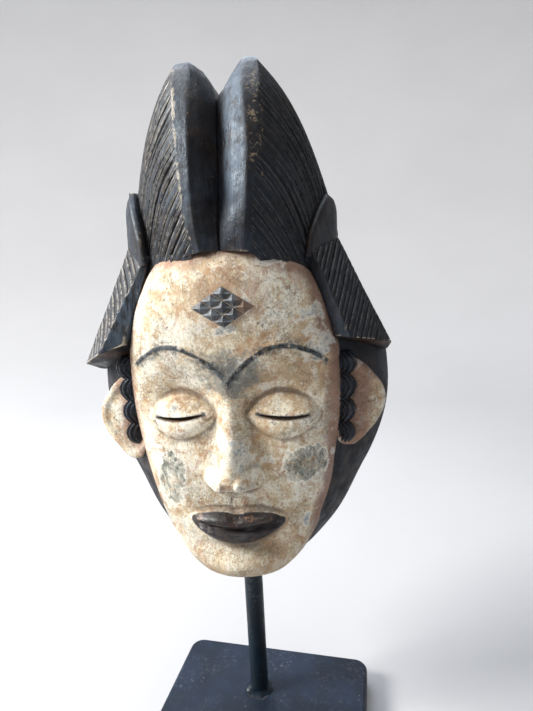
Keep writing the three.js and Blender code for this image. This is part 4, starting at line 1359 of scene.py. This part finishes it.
@dataclass
class Mask:
    """The mask: its forms joined and cut into one mesh, then worn and painted."""

    form: MaskForm = field(default_factory=MaskForm)
    chin: float = 122.5
    turn: float = 6.0

    def placed(self, points: Array) -> Array:
        """Turn and move points of the mask's frame to the object's frame, in metres."""
        c, s = math.cos(math.radians(self.turn)), math.sin(math.radians(self.turn))
        x = points[:, 0] * c - points[:, 1] * s + ROD_AT[0]
        y = points[:, 0] * s + points[:, 1] * c + ROD_AT[1]
        return np.stack([x, y, points[:, 2] * self.form.height / self.form.drawn + self.chin], 1) * MM

    def additions(self) -> list[tuple[Shell, Zone]]:
        """Give what is joined to the face: the bowl, the pairs of hair, ears and temples, and the diamond."""
        form = self.form
        temple = form.temple()
        pairs = ((form.lobe(form.lobe_right), form.lobe(form.lobe_left), Zone.HAIR),
                 (form.tress(True), form.tress(False), Zone.HAIR),
                 (form.leaf(212), form.leaf(219), Zone.HAIR),
                 (form.ear(103), form.ear(95), Zone.EAR), (temple, temple, Zone.TEMPLE))
        joined = [(form.bowl(), Zone.BOWL)]
        for right, left, zone in pairs:
            joined += [(right, zone), (left.mirrored(), zone)]
        return joined + [(shell, Zone.SCAR) for shell in form.scars()]

    def cutters(self) -> list[tuple[Shell, Zone]]:
        """Give what is cut away: both hollows, the eye slits, the rim's notch and the rod's socket."""
        form = self.form
        shrink = form.drawn / form.height
        ceiling = form.bowl_middle + float(form.bowl_reach(np.array(90.0), -5)) - form.wall * shrink
        fit = ROD_RADIUS + CLEARANCE
        slit = form.slit()
        socket = form.post(fit, ceiling - 20, ceiling + form.socket_depth * shrink)
        return [(form.face_hollow(), Zone.HOLLOW), (form.bowl_hollow(), Zone.HOLLOW), (slit, Zone.SLIT),
                (slit.mirrored(), Zone.SLIT), (form.notch(), Zone.HOLLOW),
                (form.post(fit, -30, 12), Zone.HOLLOW), (socket, Zone.HOLLOW)]

    def carve(self) -> tuple[Array, Array, Array, Array]:
        """Join and cut the forms.

        Returns:
            Points in the mask's frame, triangles, each triangle's zone, and each point's lock and share.
        """
        joined, cuts = self.additions(), self.cutters()
        start = self.form.face()
        body = new_object("carving", start.points, start.triangles, Zone.SKIN)
        tools = []
        slots = [bpy.data.materials.new(f"zone_{zone.name}") for zone in Zone]
        for slot in slots:
            body.data.materials.append(slot)
        for number, (shell, zone) in enumerate(joined + cuts):
            tool = new_object(f"tool_{number}", shell.points, shell.triangles, zone)
            for slot in slots:
                tool.data.materials.append(slot)
            cutter = body.modifiers.new("carve", "BOOLEAN")
            cutter.operation = "UNION" if number < len(joined) else "DIFFERENCE"
            cutter.solver = "MANIFOLD"
            cutter.object = tool
            tools.append(tool)
        bpy.context.view_layer.update()
        whole = body.evaluated_get(bpy.context.evaluated_depsgraph_get())
        carved = bpy.data.meshes.new_from_object(whole)
        carved.calc_loop_triangles()
        points = np.empty(len(carved.vertices) * 3, np.float32)
        carved.vertices.foreach_get("co", points)
        triangles = np.empty(len(carved.loop_triangles) * 3, np.int32)
        carved.loop_triangles.foreach_get("vertices", triangles)
        owner = np.empty(len(carved.loop_triangles), np.int32)
        carved.loop_triangles.foreach_get("polygon_index", owner)
        zones = np.empty(len(carved.polygons), np.int32)
        carved.polygons.foreach_get("material_index", zones)
        for thing in (body, *tools):
            mesh = thing.data
            bpy.data.objects.remove(thing)
            bpy.data.meshes.remove(mesh)
        for slot in slots:
            bpy.data.materials.remove(slot)
        points = points.reshape(-1, 3).astype(float)
        sources = [start, *(shell for shell, _ in joined)]
        return points, triangles.reshape(-1, 3), zones[owner], self.carried(points, sources)

    def carried(self, points: Array, sources: list[Shell]) -> Array:
        """Give each point of the carving the lock and share of the nearest point it was made from."""
        known = np.concatenate([shell.points for shell in sources])
        locks = np.concatenate([shell.locks for shell in sources])
        tree = KDTree(len(known))
        for number, place in enumerate(known):
            tree.insert(place, number)
        tree.balance()
        return locks[[tree.find(place)[1] for place in points]]

    def warp(self, points: Array) -> Array:
        """Make the carving uneven by hand: shift each point by slow noise of about half a millimetre."""
        shifts = [lattice_noise(points, 34, seed) * 0.55 + lattice_noise(points, 13, seed + 7) * 0.18
                  for seed in (1, 2, 3)]
        return points + np.stack(shifts, 1)

    def build(self) -> bpy.types.Object:
        """Make the finished mask.

        Returns:
            The mask's object, one mesh with a slot for each zone.
        """
        points, triangles, zones, locks = self.carve()
        log.info("mask mesh: %d points, %d triangles, zones %s", len(points), len(triangles),
                 np.bincount(zones, minlength=len(Zone)).tolist())
        mask = new_object("mask_carving", self.placed(self.warp(points)), triangles)
        mesh = mask.data
        mesh.polygons.foreach_set("material_index", zones.astype(np.int32))
        values = self.fields(points, triangles, zones)
        values["lock"], values["comb"] = locks.T
        for name, numbers in values.items():
            keep_numbers(mesh, name, numbers)
        place = mesh.attributes.new("place", "FLOAT_VECTOR", "POINT")
        place.data.foreach_set("vector", points.astype(np.float32).ravel())
        mesh.set_sharp_from_angle(angle=math.radians(38))
        finishes = {
            Zone.SKIN: KaolinFinish("kaolin"),
            Zone.HAIR: PigmentFinish("dark_hair", under=0.9, combed=True),
            Zone.BOWL: PigmentFinish("dark_bowl", shine=0.58, blue_tone_and_sheen=0.1, brown=0.7, worn=0.3),
            Zone.EAR: KaolinFinish("kaolin_ears", wear=0.8, painted=False),
            Zone.TEMPLE: PigmentFinish("dark_temple", shine=0.3, brown=0.4, worn=0.25),
            Zone.SCAR: ScarFinish("slate_scars"),
            Zone.HOLLOW: BareWoodFinish("bare_wood"),
            Zone.SLIT: BareWoodFinish("slit_wood"),
        }
        for zone in Zone:
            mesh.materials.append(finishes[zone].make())
        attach(mask, "root")
        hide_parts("mask")
        return mask

    def fields(self, points: Array, triangles: Array, zones: Array) -> dict[str, Array]:
        """Work out what the paint reads from each point.

        Args:
            points: places in the mask's frame.
            triangles: corner indices.
            zones: each triangle's zone.

        Returns:
            Named arrays: distances in millimetres to the brow, slit and hair edge, shares for lips and worn
            patches, and how far each point stands above or below its surroundings.
        """
        form = self.form
        x, z = points[:, 0], points[:, 2]
        a = np.abs(x)
        along = np.linspace(0, 60, 601)
        lean = np.hypot(1, np.interp(a, along, np.gradient(form.brow_line(along), 0.1)))
        brow = np.hypot((z - form.brow_line(x)) / lean, np.clip(a - 52, 0, None))
        slit = np.hypot(z - form.slit_line(np.clip(a, 14, 42)), np.clip(np.abs(a - 28) - 13.5, 0, None))
        _, top, bottom = form.lip_lines(x)
        lips = np.minimum(np.minimum(top - z, z - bottom), 27.0 - a)
        left = ((x + 37) / 9.5) ** 2 + (np.abs(z - 63 - 0.35 * (x + 37)) / 17.5) ** 2.4
        right = (np.abs(x - 39) / 12.5) ** 3 + (np.abs(z - 73 - 0.1 * (x - 39)) / 10) ** 3
        patch = 1 - np.minimum(left, right)
        stand = relief_of(points, triangles, 10)
        return {
            "brow": brow, "slit": slit, "lips": lips, "patch": patch,
            "edge": self.edge_distance(points, triangles, zones),
            "convex": np.clip(stand, 0, 3), "hollow": np.clip(-stand, 0, 3),
            "under": np.clip(-normals_of(points, triangles)[:, 2], 0, 1),
        }

    def edge_distance(self, points: Array, triangles: Array, zones: Array) -> Array:
        """Give each point's distance to the nearest point that white paint and dark share."""
        pale = np.isin(zones, (Zone.SKIN, Zone.EAR))
        dark = np.isin(zones, (Zone.HAIR, Zone.BOWL, Zone.TEMPLE))
        shared = np.intersect1d(triangles[pale].ravel(), triangles[dark].ravel())
        seam = points[shared]
        keep = np.unique(np.round(seam / 1.5).astype(int), axis=0, return_index=True)[1]
        seam = seam[keep]
        far = np.full(len(points), 99.0)
        wanted = np.unique(triangles[pale | (zones == Zone.HAIR)])
        for part in np.array_split(wanted, 40):
            gap = points[part, None, :] - seam[None]
            far[part] = np.sqrt((gap**2).sum(axis=2).min(axis=1))
        return far


def normals_of(points: Array, triangles: Array) -> Array:
    """Give each point's normal: the sum of its triangles' cross products, made one long."""
    p, q, r = (points[triangles[:, k]] for k in range(3))
    face = np.cross(q - p, r - p)
    total = np.stack([sum(np.bincount(triangles[:, c], face[:, k], len(points)) for c in range(3))
                      for k in range(3)], 1)
    return total / (np.linalg.norm(total, axis=1, keepdims=True) + 1e-12)


def relief_of(points: Array, triangles: Array, rounds: int) -> Array:
    """Say how far each point stands out of its surroundings, in millimetres.

    The points are smoothed, rounds times, by moving each 0.6 of the way to the mean of its neighbours, and
    the way from the smoothed place to the real one is measured along the normal.

    Args:
        points: places.
        triangles: corner indices.
        rounds: rounds of smoothing.

    Returns:
        One length for each point, positive on ridges.
    """
    n = len(points)
    edges = np.concatenate([triangles[:, [0, 1]], triangles[:, [1, 2]], triangles[:, [2, 0]]])
    start, end = edges.T
    degree = np.maximum(np.bincount(start, minlength=n) + np.bincount(end, minlength=n), 1)
    smooth = points.copy()
    for _ in range(rounds):
        total = np.stack([np.bincount(start, smooth[end, k], n) + np.bincount(end, smooth[start, k], n)
                          for k in range(3)], 1)
        smooth = 0.4 * smooth + 0.6 * total / degree[:, None]
    return np.einsum("ij,ij->i", points - smooth, normals_of(points, triangles))


@dataclass
class Rod:
    """The round rod with its uneven weld at the foot."""

    weld_height: float = 3.3
    weld_reach: float = 3.0
    bead_reach: float = 3.3
    bead_angle: float = 3.6

    def build(self) -> bpy.types.Object:
        """Make the rod.

        The rod is a profile turned round its axis; at the foot the radius grows by a weld that swells by a
        few sines of the angle, with one bead on the left.

        Returns:
            The rod's object.
        """
        low, high = (corner[2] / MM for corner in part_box("rod"))
        z = np.concatenate([[low, low + 0.4], np.linspace(low + 1, BASE_TOP + 0.2, 8),
                            np.linspace(BASE_TOP + 0.3, BASE_TOP + 9, 36),
                            np.linspace(BASE_TOP + 12, high - 1.2, 60), [high - 0.7, high - 0.25, high]])
        turn = np.arange(72) * 2 * math.pi / 72
        above = (z - BASE_TOP)[:, None]
        wobble = 1 + 0.22 * np.sin(2 * turn + 0.6) + 0.14 * np.sin(5 * turn + 2.1) + 0.08 * np.sin(9 * turn)
        weld = self.weld_reach * np.clip(1 - above / self.weld_height, 0, 1) ** 1.5 * wobble
        aside = np.angle(np.exp(1j * (turn - self.bead_angle)))
        bead = self.bead_reach * np.exp(-((above - 2.2) / 2.6) ** 2 - (aside / 0.55) ** 2)
        radius = ROD_RADIUS + np.minimum((weld + bead) * (above > 0.25), 3.9)
        radius = np.where(z[:, None] > high - 1.2, ROD_RADIUS - (z[:, None] - high + 1.2) * 0.8, radius)
        radius = np.where(z[:, None] < low + 0.3, ROD_RADIUS - 0.4, radius)
        x = ROD_AT[0] + radius * np.cos(turn)
        y = ROD_AT[1] + radius * np.sin(turn)
        level = np.broadcast_to(z[:, None], x.shape)
        shell = loft(np.stack([x, y, level], 2))
        rod = new_object("rod_steel", shell.points * MM, shell.triangles)
        keep_numbers(rod.data, "convex", relief_of(shell.points, shell.triangles, 6))
        rod.data.set_sharp_from_angle(angle=math.radians(40))
        rod.data.materials.append(StandPaint("rod_paint", (0.004, 0.010, 0.017), 0.3, 0.34).make())
        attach(rod, "root")
        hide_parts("rod")
        return rod


@dataclass
class Base:
    """The square base: rounded in plan and along its top edge, with the rod's hole."""

    side: float = 134.0
    corner: float = 9.0
    edge: float = 2.5
    chamfer: float = 1.0
    hole_depth: float = 10.0
    slack: float = 0.12

    def outline(self, inset: float) -> Array:
        """Give the plan: four straight sides joined by quarter rounds, inset by a length."""
        straight, radius = self.side / 2 - self.corner, self.corner - inset
        arcs = []
        for k, signs in enumerate(((1, 1), (-1, 1), (-1, -1), (1, -1))):
            turn = (k + np.linspace(0, 1, 13)) * math.pi / 2
            arcs.append(straight * np.array(signs) + radius * np.stack([np.cos(turn), np.sin(turn)], 1))
        t = (np.arange(1, 28) / 28)[:, None]
        pieces = [(arc, mix(arc[-1], after[0], t)) for arc, after in zip(arcs, arcs[1:] + arcs[:1])]
        return np.concatenate([part for piece in pieces for part in piece])

    def build(self) -> bpy.types.Object:
        """Make the base: outlines from the underside up the sides, over the edge and in to the hole.

        Returns:
            The base's object.
        """
        rings = []

        def ring(plan: Array, z: float) -> None:
            """Add one closed outline at a height."""
            rings.append(np.column_stack([plan, np.full(len(plan), z)]))

        ring(self.outline(self.chamfer), 0.0)
        for z in np.linspace(self.chamfer, BASE_TOP - self.edge, 9):
            ring(self.outline(0.0), z)
        for a in np.linspace(0.15, 1, 8) * math.pi / 2:
            ring(self.outline(self.edge * (1 - math.cos(a))), BASE_TOP - self.edge * (1 - math.sin(a)))
        rim = self.outline(self.edge)
        way = rim - ROD_AT
        circle = ROD_AT + (ROD_RADIUS + CLEARANCE) * way / np.linalg.norm(way, axis=1, keepdims=True)
        for t in np.linspace(0, 1, 42)[1:]:
            ring(mix(rim, circle, t), BASE_TOP)
        for z in np.linspace(BASE_TOP, BASE_TOP - self.hole_depth, 6)[1:]:
            ring(circle, z)
        stack = np.stack(rings)
        flat = stack.reshape(-1, 3)
        # the top dips by up to twice the slack, except near the rod
        top = (flat[:, 2] > BASE_TOP - 0.01) & (np.hypot(*(flat[:, :2] - ROD_AT).T) > 9)
        flat[:, 2] -= np.where(top, self.slack * (1 + lattice_noise(flat, 17, 4)), 0)
        shell = loft(flat.reshape(stack.shape))
        base = new_object("base_block", shell.points * MM, shell.triangles)
        keep_numbers(base.data, "convex", relief_of(shell.points, shell.triangles, 6))
        base.data.set_sharp_from_angle(angle=math.radians(40))
        base.data.materials.append(StandPaint("base_paint", (0.006, 0.011, 0.022), 0.5, 0.40).make())
        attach(base, "root")
        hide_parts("base")
        return base


@dataclass(frozen=True)
class Lamp:
    """One square soft light at a place, aimed at a point: metres, watts and a linear colour."""

    name: str
    at: tuple[float, float, float]
    aim: tuple[float, float, float]
    size: float
    power: float
    colour: Colour

    def hang(self) -> None:
        """Add the light to the scene."""
        data = bpy.data.lights.new(self.name, "AREA")
        data.size = self.size
        data.energy = self.power
        data.color = self.colour
        lamp = bpy.data.objects.new(self.name, data)
        lamp.location = self.at
        lamp.rotation_euler = (Vector(self.aim) - Vector(self.at)).to_track_quat("-Z", "Y").to_euler()
        bpy.context.scene.collection.objects.link(lamp)


# A broad key from the left, a weak fill from the right, a cool light above and one for the backdrop.
LAMPS = (
    Lamp("key", (-1.03, -0.44, 0.94), (0, 0, 0.3), 0.5, 37, (1.0, 0.985, 0.96)),
    Lamp("fill", (0.75, -0.9, 0.35), (0, 0, 0.25), 0.9, 0.6, (0.80, 0.86, 1.0)),
    Lamp("top", (-0.25, 0.45, 1.1), (0, 0, 0.35), 0.6, 5, (0.74, 0.85, 1.0)),
    Lamp("backdrop", (-0.5, 0.5, 1.8), (-0.35, 1.9, 0.65), 2.2, 42, (1.0, 1.0, 1.0)),
)


@dataclass
class Studio:
    """A plain pale floor that curves up all round, the lamps, and the camera."""

    floor_colour: Colour = (0.47, 0.47, 0.48)
    floor_half: float = 3.0
    flat_reach: float = 0.85
    sky_colour: Colour = (0.75, 0.78, 0.85)
    sky_strength: float = 0.10
    eye: tuple[float, float, float] = (0.0784, -0.2552, 0.306)
    azimuth: float = 13.3
    pitch: float = -10.7
    roll: float = 2.8
    lens: float = 25.16

    def floor(self) -> bpy.types.Object:
        """Make the floor, a wide dish: flat to 0.85 m from the middle, and beyond z = 0.7 (r - 0.85)^2."""
        side = 72
        line = np.linspace(-self.floor_half, self.floor_half, side)
        x, y = np.meshgrid(line, line)
        z = np.clip(np.hypot(x, y) - self.flat_reach, 0, None) ** 2 * 0.7
        points = np.stack([x, y, z], 2).reshape(-1, 3)
        row, col = np.meshgrid(np.arange(side - 1), np.arange(side - 1), indexing="ij")
        a = (row * side + col).ravel()
        b, c, d = a + 1, a + side + 1, a + side
        triangles = np.concatenate([np.stack([a, b, c], 1), np.stack([a, c, d], 1)])
        floor = new_object("floor", points, triangles)
        s = Sheet("floor_pale")
        tone = s.span(s.noise(3, 4), 0.3, 0.7, 0.96, 1.0)
        floor.data.materials.append(s.finish(s.blend(1.0, self.floor_colour, tone, "MULTIPLY"), 0.8))
        return floor

    def lights(self) -> None:
        """Hang the lamps and add a pale sky."""
        for lamp in LAMPS:
            lamp.hang()
        world = bpy.data.worlds.new("sky")
        world.use_nodes = True
        sky = world.node_tree.nodes["Background"]
        sky.inputs["Color"].default_value = (*self.sky_colour, 1)
        sky.inputs["Strength"].default_value = self.sky_strength
        bpy.context.scene.world = world

    def camera(self) -> None:
        """Set the camera from its azimuth, pitch and roll; its axes point right, up and back."""
        a, p, r = (math.radians(v) for v in (self.azimuth, self.pitch, self.roll))
        ahead = Vector((-math.sin(a) * math.cos(p), math.cos(a) * math.cos(p), math.sin(p)))
        level_right = Vector((math.cos(a), math.sin(a), 0))
        level_up = level_right.cross(ahead)
        right = level_right * math.cos(r) - level_up * math.sin(r)
        up = level_right * math.sin(r) + level_up * math.cos(r)
        data = bpy.data.cameras.new("camera")
        data.sensor_width = 36
        data.lens = self.lens
        data.clip_start = 0.01
        camera = bpy.data.objects.new("camera", data)
        turn = Matrix((right, up, -ahead)).transposed()
        camera.matrix_world = Matrix.Translation(self.eye) @ turn.to_4x4()
        bpy.context.scene.collection.objects.link(camera)
        bpy.context.scene.camera = camera


def main() -> None:
    """Build every piece, the stage and the camera."""
    studio = Studio()
    studio.camera()
    for maker in (Mask(), Rod(), Base()):
        made = maker.build()
        log.info("%s: %d points", made.name, len(made.data.vertices))
    studio.floor()
    studio.lights()
    bpy.context.scene.view_settings.view_transform = "Standard"


if __name__ == "__main__":
    main()
